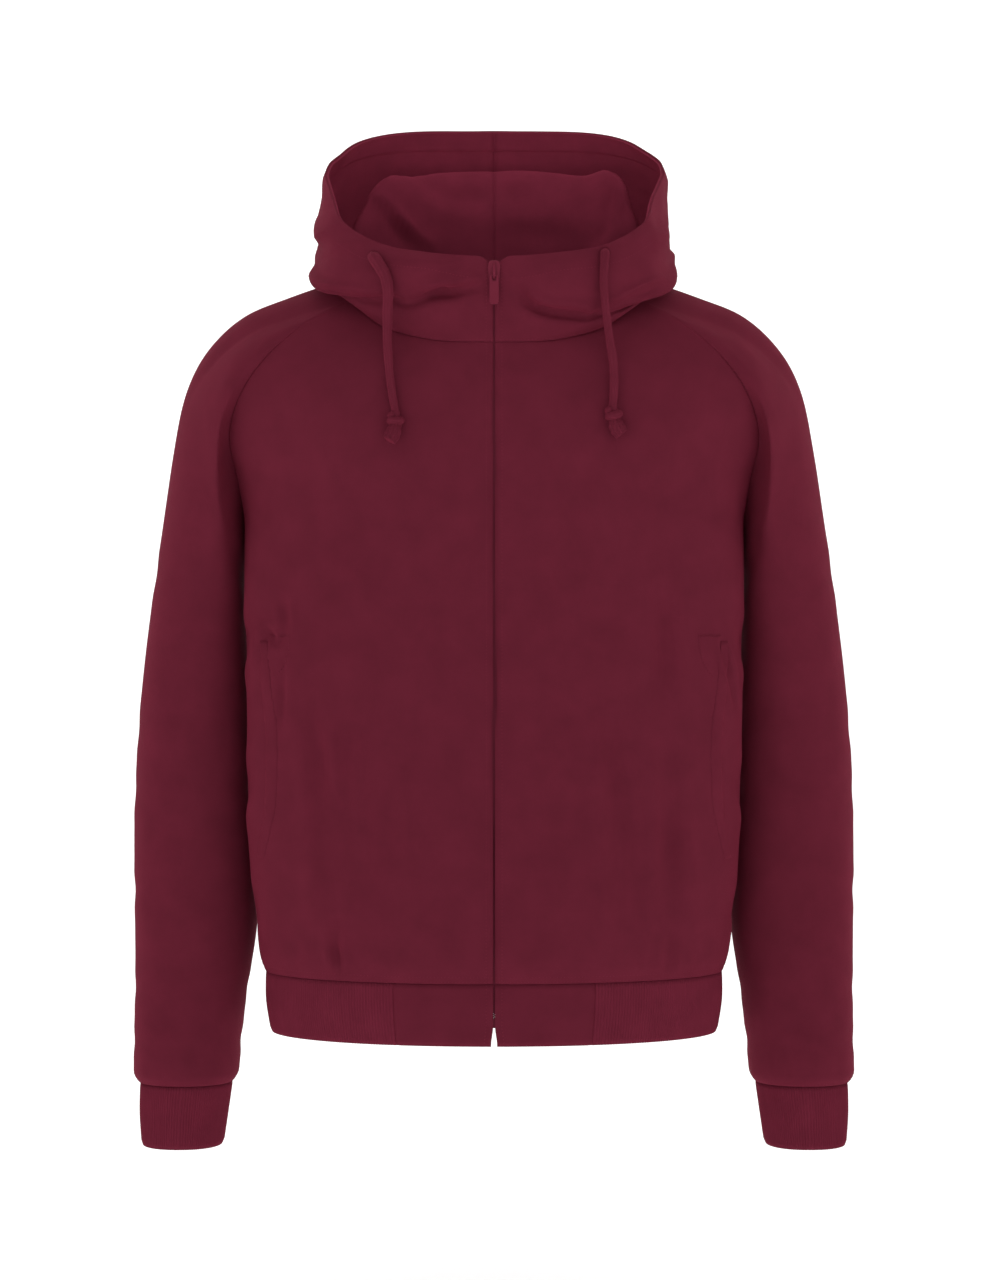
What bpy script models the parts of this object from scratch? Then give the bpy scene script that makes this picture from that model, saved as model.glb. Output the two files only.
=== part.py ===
"""Zip-through hooded sweatshirt with raglan sleeves, hollow and open, in the form a wearer gives it.

Metres, +Z up. The front faces -Y and the wearer's left side is +X. The origin lies in the middle of
the neck opening, level with the shoulder points of the neck seam. Every cloth piece is a wall: a grid
of outer points, and the same grid moved in by the cloth's thickness. Neighbours stop short of each
other by SEAM_GAP along their common seam line.
"""

import math
from functools import lru_cache

import bmesh
import bpy
import numpy as np

# Cloth and seams
FLEECE = 0.0022
RIB_CLOTH = 0.0024
RIB_RAISE = 0.0007
HEM_LAYER = 0.0018
WELT_LAYER = 0.0018
SEAM_GAP = 0.0003
# Lengths over which the seam gaps are taken off: a panel's width, the raglan's height, the band's reach
PANEL_WIDTH = 0.30
RAGLAN_HEIGHT = 0.15
BAND_REACH = 0.20

# Levels
HEM_SEAM = -0.630
UNDERARM = -0.215
CUFF_SEAM = -0.737

# Grid counts
PANEL_SPANS = 8
BACK_SPANS = 7
NECK_SPANS = 4
LOWER_ROWS = 13
RAGLAN_ROWS = 8
SLEEVE_ROWS = 25
HOOD_ROWS = 20
HOOD_SAMPLES = 161
HEM_FOLD_ROWS = 2
ROW_CROWDING = 1.35

# Ribs: raised ribs of the cuffs and of the hem band
CUFF_RIBS = 44
HEM_RIBS = 104
PLAIN_SIDES = 28
INSERT_COLUMNS = 8

# Zip: depths are measured inwards from the cloth's outer face, square to the zip's line
ZIP_EDGE = 0.0030
ZIP_BOTTOM = -0.6690
STOP_TOP = -0.6610
CHAIN_TOP = 0.0010
TAPE_TOP = 0.0090
CHAIN_HALF = 0.0024
CHAIN_DEPTHS = (0.0006, 0.0036)
STOP_DEPTHS = (0.0002, 0.0040)
TAPE_IN = 0.0027
TAPE_OUT = 0.0140
TAPE_THICK = 0.0008
ZIP_ROW_STEP = 0.0028

# Slider: front plate, post between the open tapes and back plate
SLIDER_MIDDLE = 0.0018
SLIDER_SEAT = (0.008, 0.006)
SLIDER_DEPTHS = (-0.0030, -0.0012, 0.0040, 0.0054)
SLIDER_OUTLINE = (
    # across, up
    (0.0040, -0.0090),
    (0.0048, -0.0050),
    (0.0054, 0.0040),
    (0.0046, 0.0080),
    (0.0022, 0.0092),
)
POST_OUTLINE = (
    # across, up
    (0.0006, 0.0004),
    (0.0014, 0.0020),
    (0.0018, 0.0040),
    (0.0014, 0.0056),
    (0.0006, 0.0064),
)
# Bail over the front plate: height along the plate, and rise from it to the bar's middle
BAIL_HALF = 0.0011
BAIL_THICK = 0.0010
BAIL = (
    # up, rise
    (-0.0058, 0.0008),
    (-0.0058, 0.0018),
    (-0.0046, 0.0029),
    (0.0000, 0.0031),
    (0.0036, 0.0026),
    (0.0062, 0.0013),
    (0.0066, 0.0008),
)
# Pull tab, hung under the bail by the bar over its window
PIVOT_UP = -0.0036
PIVOT_RISE = 0.0013
TAB_THICK = 0.0013
BAR_THICK = 0.0010
BAR_BOTTOM = -0.0010
TAB = (
    # outline across and up, window across and up
    (0.0000, 0.0006, 0.0000, -0.0006),
    (0.0026, 0.0006, 0.0018, -0.0006),
    (0.0037, -0.0010, 0.0018, -0.0020),
    (0.0040, -0.0035, 0.0018, -0.0044),
    (0.0041, -0.0120, 0.0012, -0.0050),
    (0.0041, -0.0225, 0.0008, -0.0050),
    (0.0030, -0.0253, 0.0004, -0.0050),
    (0.0000, -0.0260, 0.0000, -0.0050),
)

# Drawcord
CORD = 0.0078
CORD_STEP = 0.0115
KNOT_SIDES = 14
KNOT_FLAT = 0.86
KNOT_TURN = (0.0010, 0.0120)
TURN_RIGHT = (-0.38, 0.0, -0.92)
TURN_LEFT = (0.34, 0.0, -0.94)
KNOT = (
    # distance along, half width
    (0.0000, 0.0036),
    (0.0020, 0.0058),
    (0.0060, 0.0067),
    (0.0100, 0.0060),
    (0.0128, 0.0043),
    (0.0170, 0.0041),
    (0.0205, 0.0046),
    (0.0212, 0.0040),
)

# Ring of the neck seam, from the centre front (0) round one side to the centre back (180)
NECK = (
    # degrees, x, y, z
    (0, 0.000, -0.110, -0.060),
    (25, 0.058, -0.104, -0.057),
    (45, 0.103, -0.085, -0.042),
    (62, 0.131, -0.056, -0.015),
    (90, 0.142, -0.008, 0.008),
    (120, 0.122, 0.050, 0.016),
    (150, 0.066, 0.088, 0.010),
    (180, 0.000, 0.098, 0.004),
)
RAGLAN_FRONT_DEGREES = 62
RAGLAN_BACK_DEGREES = 120

# Body up to the underarm, with the centre lines of front and back
BODY = (
    # z, half width, y of the side seam, y of the centre front, y of the centre back
    (-0.630, 0.2120, -0.004, -0.113, 0.106),
    (-0.618, 0.2160, -0.004, -0.119, 0.112),
    (-0.590, 0.2190, -0.006, -0.123, 0.117),
    (-0.540, 0.2250, -0.010, -0.125, 0.118),
    (-0.470, 0.2275, -0.012, -0.124, 0.113),
    (-0.400, 0.2280, -0.014, -0.122, 0.107),
    (-0.330, 0.2290, -0.013, -0.121, 0.106),
    (-0.270, 0.2310, -0.006, -0.121, 0.111),
    (-0.215, 0.2320, 0.008, -0.122, 0.119),
)
FRONT_LINE = (
    # z, y above the underarm
    (-0.215, -0.122),
    (-0.150, -0.122),
    (-0.100, -0.118),
    (-0.060, -0.110),
)
BACK_LINE = (
    # z, y above the underarm
    (-0.215, 0.119),
    (-0.150, 0.127),
    (-0.080, 0.127),
    (-0.030, 0.116),
    (0.004, 0.098),
)

# Raglan seams from the underarm up; the last point is on the neck ring
RAGLAN_FRONT = (
    # x, y, z
    (0.232, 0.008, -0.215),
    (0.236, -0.026, -0.178),
    (0.240, -0.060, -0.136),
    (0.225, -0.083, -0.098),
    (0.200, -0.087, -0.066),
    (0.168, -0.078, -0.038),
)
RAGLAN_BACK = (
    # x, y, z
    (0.232, 0.008, -0.215),
    (0.235, 0.050, -0.182),
    (0.231, 0.092, -0.134),
    (0.210, 0.110, -0.085),
    (0.180, 0.106, -0.045),
    (0.150, 0.086, -0.012),
)
RAGLAN_TURN = (
    # share of the raglan seam, degrees that a row turns through on its way to it
    (0.00, 90),
    (0.15, 80),
    (0.40, 64),
    (0.70, 58),
    (1.00, 60),
)

# Sleeve rings from the neck to the cuff seam
SLEEVE = (
    # share, x and z outside, x and z inside, y of the middle, half depth
    (0.00, 0.150, 0.006, 0.232, -0.215, 0.010, 0.078),
    (0.07, 0.197, -0.009, 0.2326, -0.226, 0.011, 0.082),
    (0.14, 0.237, -0.025, 0.2326, -0.240, 0.014, 0.084),
    (0.21, 0.268, -0.054, 0.2328, -0.257, 0.019, 0.083),
    (0.28, 0.287, -0.091, 0.2330, -0.276, 0.025, 0.081),
    (0.35, 0.299, -0.145, 0.2320, -0.301, 0.030, 0.078),
    (0.43, 0.310, -0.212, 0.2305, -0.334, 0.035, 0.074),
    (0.51, 0.321, -0.285, 0.2290, -0.374, 0.038, 0.070),
    (0.59, 0.331, -0.362, 0.2275, -0.418, 0.040, 0.067),
    (0.67, 0.337, -0.440, 0.2260, -0.468, 0.041, 0.064),
    (0.75, 0.339, -0.515, 0.2235, -0.525, 0.040, 0.061),
    (0.83, 0.338, -0.590, 0.2235, -0.590, 0.036, 0.058),
    (0.90, 0.337, -0.655, 0.2325, -0.655, 0.029, 0.054),
    (0.96, 0.337, -0.712, 0.2385, -0.712, 0.023, 0.050),
    (0.985, 0.337, -0.730, 0.2400, -0.730, 0.022, 0.047),
    (1.00, 0.333, -0.737, 0.2440, -0.737, 0.022, 0.042),
)
CUFF_MIDDLE = (0.288, 0.022)
SLEEVE_NECK_DEGREES = 36
SLEEVE_BLEND = 0.33

# Cuff rings
CUFF = (
    # z, x outside, x inside, y of the middle, half depth
    (-0.7373, 0.3315, 0.2450, 0.0220, 0.0415),
    (-0.7650, 0.3320, 0.2490, 0.0215, 0.0400),
    (-0.7960, 0.3300, 0.2535, 0.0210, 0.0380),
)

# Hem band rings
HEM = (
    # z, half width, y of the side, y of the front, y of the back
    (-0.6303, 0.2115, -0.004, -0.1125, 0.1055),
    (-0.6560, 0.2115, -0.004, -0.1120, 0.1050),
    (-0.6860, 0.2070, -0.004, -0.1090, 0.1020),
)
HEM_INSERT_TURN = 24

# Face edge of the hood, from the centre front round one side to the centre back
RIM = (
    # degrees, x, y, z
    (0, 0.000, -0.121, 0.014),
    (20, 0.052, -0.118, 0.018),
    (40, 0.098, -0.104, 0.027),
    (60, 0.133, -0.076, 0.050),
    (80, 0.150, -0.040, 0.078),
    (100, 0.156, 0.006, 0.108),
    (120, 0.149, 0.052, 0.135),
    (140, 0.127, 0.092, 0.158),
    (160, 0.082, 0.118, 0.171),
    (180, 0.000, 0.127, 0.174),
)
# Crease that parts the lower band of the hood from the roll above it, for the two sides
CREASE_RIGHT = (
    # degrees, share of the height, x, y, z
    (0, 0.52, 0.000, -0.116, -0.014),
    (20, 0.50, 0.045, -0.117, -0.017),
    (40, 0.44, 0.096, -0.103, -0.020),
    (60, 0.30, 0.138, -0.070, -0.011),
    (80, 0.14, 0.152, -0.030, 0.008),
    (105, 0.12, 0.148, 0.026, 0.018),
    (180, 0.12, 0.000, 0.102, 0.024),
)
CREASE_LEFT = (
    # degrees, share of the height, x, y, z
    (0, 0.52, 0.000, -0.116, -0.014),
    (20, 0.40, 0.046, -0.115, -0.031),
    (40, 0.36, 0.094, -0.100, -0.035),
    (60, 0.28, 0.136, -0.070, -0.014),
    (80, 0.14, 0.152, -0.030, 0.008),
    (105, 0.12, 0.148, 0.026, 0.018),
    (180, 0.12, 0.000, 0.102, 0.024),
)
# Roll above the crease: distances from the straight line between crease and face edge
ROLL_FRONT = (
    # share, out, up
    (0.00, 0.0000, 0.0000),
    (0.20, 0.0075, -0.0010),
    (0.45, 0.0120, 0.0000),
    (0.70, 0.0100, 0.0018),
    (1.00, 0.0000, 0.0000),
)
ROLL_SIDE = (
    # share, out, up
    (0.00, 0.0000, 0.0000),
    (0.08, 0.0093, -0.0100),
    (0.17, 0.0180, -0.0165),
    (0.27, 0.0198, -0.0165),
    (0.37, 0.0150, -0.0155),
    (0.50, 0.0132, -0.0125),
    (0.72, 0.0118, -0.0078),
    (0.88, 0.0065, -0.0025),
    (1.00, 0.0000, 0.0000),
)
# Centre back: up to the ridge inside, down into the pouch, and up again outside to the face edge
POUCH = (
    # share, out, up, from the straight line between neck seam and face edge
    (0.00, 0.000, 0.000),
    (0.12, -0.006, 0.032),
    (0.24, -0.008, 0.066),
    (0.29, -0.003, 0.074),
    (0.34, 0.006, 0.060),
    (0.46, 0.020, -0.050),
    (0.55, 0.034, -0.140),
    (0.60, 0.048, -0.168),
    (0.66, 0.064, -0.168),
    (0.76, 0.070, -0.115),
    (0.88, 0.050, -0.050),
    (1.00, 0.000, 0.000),
)
POUCH_OUT = {-1: (100, 160), 1: (98, 153)}
POUCH_DROP = {-1: (104, 180), 1: (104, 178)}
POUCH_START = (0.24, 0.40)
RIDGE_UP = {-1: (110, 140), 1: (112, 136)}
# Shares of the side roll beside the pouch, so that the roll's underside lines up with the pouch's front
SHELF = (
    # share up the hood, share up the side roll
    (0.00, 0.00),
    (0.15, 0.06),
    (0.29, 0.13),
    (0.44, 0.24),
    (0.60, 0.38),
    (0.80, 0.67),
    (1.00, 1.00),
)
SHELF_TURN = (76, 106)
SIDE_ROLL_TURN = (30, 78)
FREE_OF_ZIP = (5, 24)
BAND_BULGE = 0.005
RIM_HEM = 0.020
RIM_SETBACK = 0.06
HOOD_EVENNESS = 0.40

# Pocket welts: levels, and their edges in shares of the front panel's width
WELT_TOP = -0.322
WELT_BOTTOM = -0.528
WELT_SHARES = (0.655, 0.745)
WELT_ROW_ROOM = 0.01

# Routes of the two cord ends, from the eyelet down to the knot
CORD_RIGHT = (
    # x, y, z
    (-0.1067, -0.1144, 0.0145),
    (-0.1046, -0.1175, 0.0114),
    (-0.1018, -0.1192, 0.0070),
    (-0.0988, -0.1205, 0.0022),
    (-0.0962, -0.1208, -0.0034),
    (-0.0944, -0.1209, -0.0098),
    (-0.0936, -0.1203, -0.0170),
    (-0.0938, -0.1197, -0.0270),
    (-0.0942, -0.1194, -0.0390),
    (-0.0943, -0.1194, -0.0520),
    (-0.0940, -0.1197, -0.0650),
    (-0.0932, -0.1202, -0.0780),
    (-0.0920, -0.1209, -0.0910),
    (-0.0904, -0.1219, -0.1040),
    (-0.0884, -0.1228, -0.1160),
    (-0.0866, -0.1241, -0.1254),
)
CORD_LEFT = (
    # x, y, z
    (0.0983, -0.1141, 0.0180),
    (0.0978, -0.1168, 0.0125),
    (0.0973, -0.1189, 0.0058),
    (0.0969, -0.1200, -0.0018),
    (0.0969, -0.1200, -0.0100),
    (0.0974, -0.1194, -0.0190),
    (0.0984, -0.1187, -0.0280),
    (0.0994, -0.1181, -0.0370),
    (0.1005, -0.1178, -0.0460),
    (0.1017, -0.1177, -0.0550),
    (0.1031, -0.1178, -0.0640),
    (0.1046, -0.1181, -0.0730),
    (0.1056, -0.1186, -0.0820),
    (0.1060, -0.1194, -0.0920),
    (0.1059, -0.1202, -0.1020),
    (0.1053, -0.1211, -0.1115),
    (0.1043, -0.1223, -0.1201),
)


# ---------------------------------------------------------------- tables and curves


class Table:
    """Rows joined by a smooth curve over their first column."""

    def __init__(self, rows):
        data = np.array(rows, float)
        self.keys = data[:, 0]
        self.values = data[:, 1:]
        self.slopes = np.gradient(self.values, self.keys, axis=0)

    def __call__(self, key):
        last = len(self.keys) - 2
        i = min(max(int(np.searchsorted(self.keys, key)) - 1, 0), last)
        step = self.keys[i + 1] - self.keys[i]
        t = min(max((key - self.keys[i]) / step, 0.0), 1.0)
        start = (1 + 2 * t) * (1 - t) ** 2
        end = t * t * (3 - 2 * t)
        leave = t * (1 - t) ** 2 * step
        arrive = t * t * (t - 1) * step
        return (
            start * self.values[i]
            + end * self.values[i + 1]
            + leave * self.slopes[i]
            + arrive * self.slopes[i + 1]
        )


def along(points):
    """A smooth curve through points, read by the share of its length."""
    points = np.array(points, float)
    steps = np.linalg.norm(np.diff(points, axis=0), axis=1)
    shares = np.concatenate([[0], np.cumsum(steps)]) / steps.sum()
    return Table(np.column_stack([shares, points]))


def ease(low, high, value):
    t = min(max((value - low) / (high - low), 0.0), 1.0)
    return t * t * (3 - 2 * t)


def mix(a, b, share):
    return a + (b - a) * share


def unit(vector):
    return vector / max(np.linalg.norm(vector), 1e-9)


def to_side(point, side):
    return np.array([point[0] * side, point[1], point[2]])


neck_ring = Table(NECK)
rim_ring = Table(RIM)
body_table = Table(BODY)
front_line = Table(FRONT_LINE)
back_line = Table(BACK_LINE)
raglan_turn = Table(RAGLAN_TURN)
sleeve_table = Table(SLEEVE)
cuff_table = Table(CUFF[::-1])
hem_table = Table(HEM[::-1])
roll_front = Table(ROLL_FRONT)
roll_side = Table(ROLL_SIDE)
pouch_table = Table(POUCH)
shelf_table = Table(SHELF)
raglan_front = along(RAGLAN_FRONT + (tuple(neck_ring(RAGLAN_FRONT_DEGREES)),))
raglan_back = along(RAGLAN_BACK + (tuple(neck_ring(RAGLAN_BACK_DEGREES)),))
crease_tables = {-1: Table(CREASE_RIGHT), 1: Table(CREASE_LEFT)}

# Squareness of the rings, and the levels between which it changes
HEM_ROUND = 2.10
WAIST_ROUND = 2.45
CHEST_ROUND = 2.55
SLEEVE_ROUND = 2.25
WAIST_LEVELS = (-0.68, -0.38)
CHEST_LEVELS = (UNDERARM, -0.10)
# Where the thickness runs at the seams
NECK_CENTRE = np.array([0.0, 0.0, -0.030])
ARMHOLE_CENTRE = (0.012, -0.110)
CORNER_BLEND = 0.040
NECK_FALL = 0.3
SIDE_SEAM_BLEND = 0.030


# ---------------------------------------------------------------- meshes


def material(name, colour, roughness):
    made = bpy.data.materials.new(name)
    made.use_nodes = True
    shader = made.node_tree.nodes["Principled BSDF"]
    shader.inputs["Base Color"].default_value = (*colour, 1.0)
    shader.inputs["Roughness"].default_value = roughness
    shader.inputs["Metallic"].default_value = 0.0
    made.diffuse_color = (*colour, 1.0)
    return made


def solid(name, points, faces, finish, smooth=True):
    """One closed body from points and faces, faces turned outwards."""
    mesh = bpy.data.meshes.new(name)
    mesh.from_pydata([tuple(point) for point in points], [], faces)
    work = bmesh.new()
    work.from_mesh(mesh)
    bmesh.ops.remove_doubles(work, verts=work.verts, dist=0.00001)
    bmesh.ops.triangulate(work, faces=work.faces)
    bmesh.ops.recalc_face_normals(work, faces=work.faces)
    work.to_mesh(mesh)
    work.free()
    if smooth:
        mesh.shade_smooth()
        mesh.set_sharp_from_angle(angle=math.radians(40))
    mesh.materials.append(finish)
    made = bpy.data.objects.new(name, mesh)
    bpy.context.scene.collection.objects.link(made)
    return made


def inward_normals(grid, closed, flip):
    """Unit vectors square to the grid, on its inner side."""
    if closed:
        over = np.roll(grid, -1, axis=0) - np.roll(grid, 1, axis=0)
    else:
        over = np.gradient(grid, axis=0)
    normals = np.cross(over, np.gradient(grid, axis=1)) * flip
    lengths = np.linalg.norm(normals, axis=2, keepdims=True)
    return normals / np.maximum(lengths, 1e-12)


def wall(name, grid, thickness, finish, closed=False, flip=1, edges=None, upright=()):
    """A cloth wall from a grid of outer points [column][row].

    edges gives, for a side of the grid, the function of a point that says which way the wall's
    thickness runs there, so that neighbours share their seam faces. The columns in upright lie in
    a plane of constant X, and so does their thickness.
    """
    inward = inward_normals(grid, closed, flip)
    for column in upright:
        inward[column, :, 0] = 0.0
        inward[column] = np.array([unit(vector) for vector in inward[column]])
    sides = {"first": (0, None), "last": (-1, None), "low": (None, 0), "high": (None, -1)}
    for side, direction in (edges or {}).items():
        column, row = sides[side]
        count = grid.shape[1] if row is None else grid.shape[0]
        for i in range(count):
            place = (column, i) if row is None else (i, row)
            inward[place] = direction(grid[place])
    columns, rows = grid.shape[:2]
    points = np.concatenate([grid.reshape(-1, 3), (grid + inward * thickness).reshape(-1, 3)])
    layer = columns * rows

    def at(i, j, inner):
        return (i % columns) * rows + j + layer * inner

    faces = []
    spans = columns if closed else columns - 1
    for i in range(spans):
        for j in range(rows - 1):
            faces.append((at(i, j, 0), at(i + 1, j, 0), at(i + 1, j + 1, 0), at(i, j + 1, 0)))
            faces.append((at(i, j, 1), at(i, j + 1, 1), at(i + 1, j + 1, 1), at(i + 1, j, 1)))
        faces.append((at(i, 0, 0), at(i, 0, 1), at(i + 1, 0, 1), at(i + 1, 0, 0)))
        end = rows - 1
        faces.append((at(i, end, 0), at(i + 1, end, 0), at(i + 1, end, 1), at(i, end, 1)))
    if not closed:
        for j in range(rows - 1):
            faces.append((at(0, j, 0), at(0, j + 1, 0), at(0, j + 1, 1), at(0, j, 1)))
            i = columns - 1
            faces.append((at(i, j, 0), at(i, j, 1), at(i, j + 1, 1), at(i, j + 1, 0)))
    return solid(name, points, faces, finish)


def bar(name, rings, finish, smooth=False):
    """A closed bar through rings of equal count, capped at both ends."""
    count = len(rings[0])
    points = [point for ring in rings for point in ring]
    faces = [tuple(range(count)), tuple(range(len(points) - 1, len(points) - 1 - count, -1))]
    for k in range(len(rings) - 1):
        for i in range(count):
            j = (i + 1) % count
            a = k * count
            b = a + count
            faces.append((a + i, a + j, b + j, b + i))
    return solid(name, points, faces, finish, smooth)


# ---------------------------------------------------------------- body


def across(centre, edge, turn, squareness, share):
    """A point of a rounded row that leaves the centre line square and turns to its edge."""
    angle = turn * share
    reach = (math.sin(angle) / math.sin(turn)) ** (2 / squareness)
    end = max(math.cos(turn), 0.0) ** (2 / squareness)
    fall = (max(math.cos(angle), 0.0) ** (2 / squareness) - end) / (1 - end)
    x = mix(centre[0], edge[0], reach)
    return np.array([x, mix(edge[1], centre[1], fall), mix(edge[2], centre[2], fall)])


def roundness(level):
    """How square the rings are: nearly oval at the hem, squarer at the waist and the chest."""
    low = mix(HEM_ROUND, WAIST_ROUND, ease(*WAIST_LEVELS, level))
    return mix(low, CHEST_ROUND, ease(*CHEST_LEVELS, level))


def lower_row(level, back, start, share):
    """A row between the hem seam and the underarm."""
    half_width, side_y, front_y, back_y = body_table(level)
    centre = np.array([start, back_y if back else front_y, level])
    edge = np.array([half_width, side_y, level])
    return across(centre, edge, math.pi / 2, roundness(level), share)


def upper_row(height, back, start, share):
    """A row between the underarm (height 0) and the neck seam (height 1)."""
    seam = raglan_back if back else raglan_front
    line = back_line if back else front_line
    neck_end = RAGLAN_BACK_DEGREES if back else RAGLAN_FRONT_DEGREES
    neck_start = 180 if back else 0

    def row(at_height):
        level = mix(UNDERARM, line.keys[-1], at_height)
        centre = np.array([start, line(level)[0], level])
        turn = math.radians(raglan_turn(at_height)[0])
        return across(centre, seam(at_height), turn, roundness(level), share)

    target = neck_ring(mix(neck_start, neck_end, share))
    target[0] = max(target[0], start)
    return row(height) + (target - row(1.0)) * height**3


def body_levels():
    """Levels of the lower rows, closer together above the hem seam."""
    shares = np.linspace(0, 1, LOWER_ROWS) ** ROW_CROWDING
    return [mix(HEM_SEAM, UNDERARM, share) for share in shares]


def body_column(back, start, share):
    points = [lower_row(level, back, start, share) for level in body_levels()]
    heights = np.linspace(0, 1, RAGLAN_ROWS + 1)[1:]
    stop = 1 - SEAM_GAP / RAGLAN_HEIGHT
    points += [upper_row(height * stop, back, start, share) for height in heights]
    return points


def to_neck(point):
    flat = NECK_CENTRE - point
    flat[2] *= NECK_FALL
    return unit(flat)


def to_armhole(side):
    """Thickness direction along the raglan seam, turning to the neck's own near its top."""
    corners = [to_side(neck_ring(angle), side) for angle in (RAGLAN_FRONT_DEGREES, RAGLAN_BACK_DEGREES)]

    def direction(point):
        near = min(np.linalg.norm(point - corner) for corner in corners)
        centre = np.array([point[0], *ARMHOLE_CENTRE])
        return unit(mix(to_neck(point), unit(centre - point), ease(0, CORNER_BLEND, near)))

    return direction


def to_outer_seam(side):
    """Thickness direction along the side seam and the raglan seam above it."""
    raglan = to_armhole(side)

    def direction(point):
        level = ease(UNDERARM - SIDE_SEAM_BLEND, UNDERARM, point[2])
        return unit(mix(np.array([-side, 0.0, 0.0]), raglan(point), level))

    return direction


def to_axis(point):
    return unit(np.array([-point[0], -point[1], 0.0]))


@lru_cache
def front_grid(side):
    shares = np.linspace(0, 1, PANEL_SPANS + 1) * (1 - SEAM_GAP / PANEL_WIDTH)
    return np.array([[to_side(p, side) for p in body_column(False, ZIP_EDGE, s)] for s in shares])


def make_front(name, side, finish):
    edges = {"low": to_axis, "high": to_neck, "last": to_outer_seam(side)}
    return wall(name, front_grid(side), FLEECE, finish, flip=-side, edges=edges, upright=(0,))


def make_back(name, finish):
    half = np.linspace(0, 1, BACK_SPANS + 1) * (1 - SEAM_GAP / PANEL_WIDTH)
    columns = [[to_side(p, -1) for p in body_column(True, 0.0, s)] for s in half[:0:-1]]
    columns += [body_column(True, 0.0, s) for s in half]
    edges = {"low": to_axis, "high": to_neck, "first": to_outer_seam(-1), "last": to_outer_seam(1)}
    return wall(name, np.array(columns), FLEECE, finish, flip=1, edges=edges)


def make_welt(name, side, finish):
    """The edge welt of a side pocket: a strip on one column of the front panel's facets."""
    grid = front_grid(side)
    spans = PANEL_SPANS
    column = int(WELT_SHARES[0] * spans)
    rows = body_levels()
    levels = [row for row in rows if WELT_BOTTOM + WELT_ROW_ROOM < row < WELT_TOP - WELT_ROW_ROOM]
    levels = [WELT_BOTTOM] + levels + [WELT_TOP]
    strip = []
    for share in WELT_SHARES:
        within = share * spans - column
        line = mix(grid[column], grid[column + 1], within)
        below = line[: len(rows)]
        strip.append([[np.interp(level, rows, below[:, axis]) for axis in range(3)] for level in levels])
    strip = np.array(strip)
    out = -inward_normals(strip, False, -side)
    return wall(name, strip + out * (SEAM_GAP + WELT_LAYER), WELT_LAYER, finish, flip=-side)


# ---------------------------------------------------------------- sleeves and cuffs


def oval(out, inside, middle_y, half_depth, squareness, angle):
    """A rounded ring between an outer and an inner point; angle 0 is outside and 90 is in front."""
    middle = (out + inside) / 2
    reach = (out - inside) / 2
    c, s = math.cos(angle), math.sin(angle)
    along_reach = math.copysign(abs(c) ** (2 / squareness), c)
    along_depth = math.copysign(abs(s) ** (2 / squareness), s)
    point = middle + reach * along_reach
    point[1] = middle_y - half_depth * along_depth
    return point


def sleeve_ring(share, angle):
    out_x, out_z, in_x, in_z, middle_y, half_depth = sleeve_table(share)
    out = np.array([out_x, middle_y, out_z])
    inside = np.array([in_x, middle_y, in_z])
    return oval(out, inside, middle_y, half_depth, SLEEVE_ROUND, angle)


def armhole(angle):
    """The sleeve's upper edge: a stretch of the neck ring and the two raglan seams."""
    degrees = math.degrees(angle) % 360
    front = degrees <= 180
    turned = degrees if front else 360 - degrees
    corner = RAGLAN_FRONT_DEGREES if front else RAGLAN_BACK_DEGREES
    if turned <= SLEEVE_NECK_DEGREES:
        return neck_ring(mix(90, corner, turned / SLEEVE_NECK_DEGREES))
    down = (turned - SLEEVE_NECK_DEGREES) / (180 - SLEEVE_NECK_DEGREES)
    return (raglan_front if front else raglan_back)(1 - down)


def sleeve_point(share, angle):
    point = sleeve_ring(share, angle)
    if share < SLEEVE_BLEND:
        near = (1 - share / SLEEVE_BLEND) ** 2 * (1 + 2 * share / SLEEVE_BLEND)
        point = point + (armhole(angle) - sleeve_ring(0.0, angle)) * near
    return point


def sleeve_angles():
    """Angles round the sleeve, one on each corner of the armhole and one on each row of the body."""
    corner = SLEEVE_NECK_DEGREES
    neck = np.linspace(-corner, corner, NECK_SPANS + 1)
    front = np.linspace(corner, 180, RAGLAN_ROWS + 1)
    back = np.linspace(180, 360 - corner, RAGLAN_ROWS + 1)
    return np.radians(np.concatenate([neck[:-1], front[:-1], back[:-1]]))


def make_sleeve(name, side, finish):
    shares = np.linspace(0, 1, SLEEVE_ROWS)
    grid = np.array([[to_side(sleeve_point(s, angle), side) for s in shares] for angle in sleeve_angles()])
    raglan = to_armhole(side)
    cuff_middle = np.array([side * CUFF_MIDDLE[0], CUFF_MIDDLE[1], CUFF_SEAM])
    edges = {"low": raglan, "high": lambda point: unit(cuff_middle - point)}
    return wall(name, grid, FLEECE, finish, closed=True, flip=-side, edges=edges)


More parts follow.
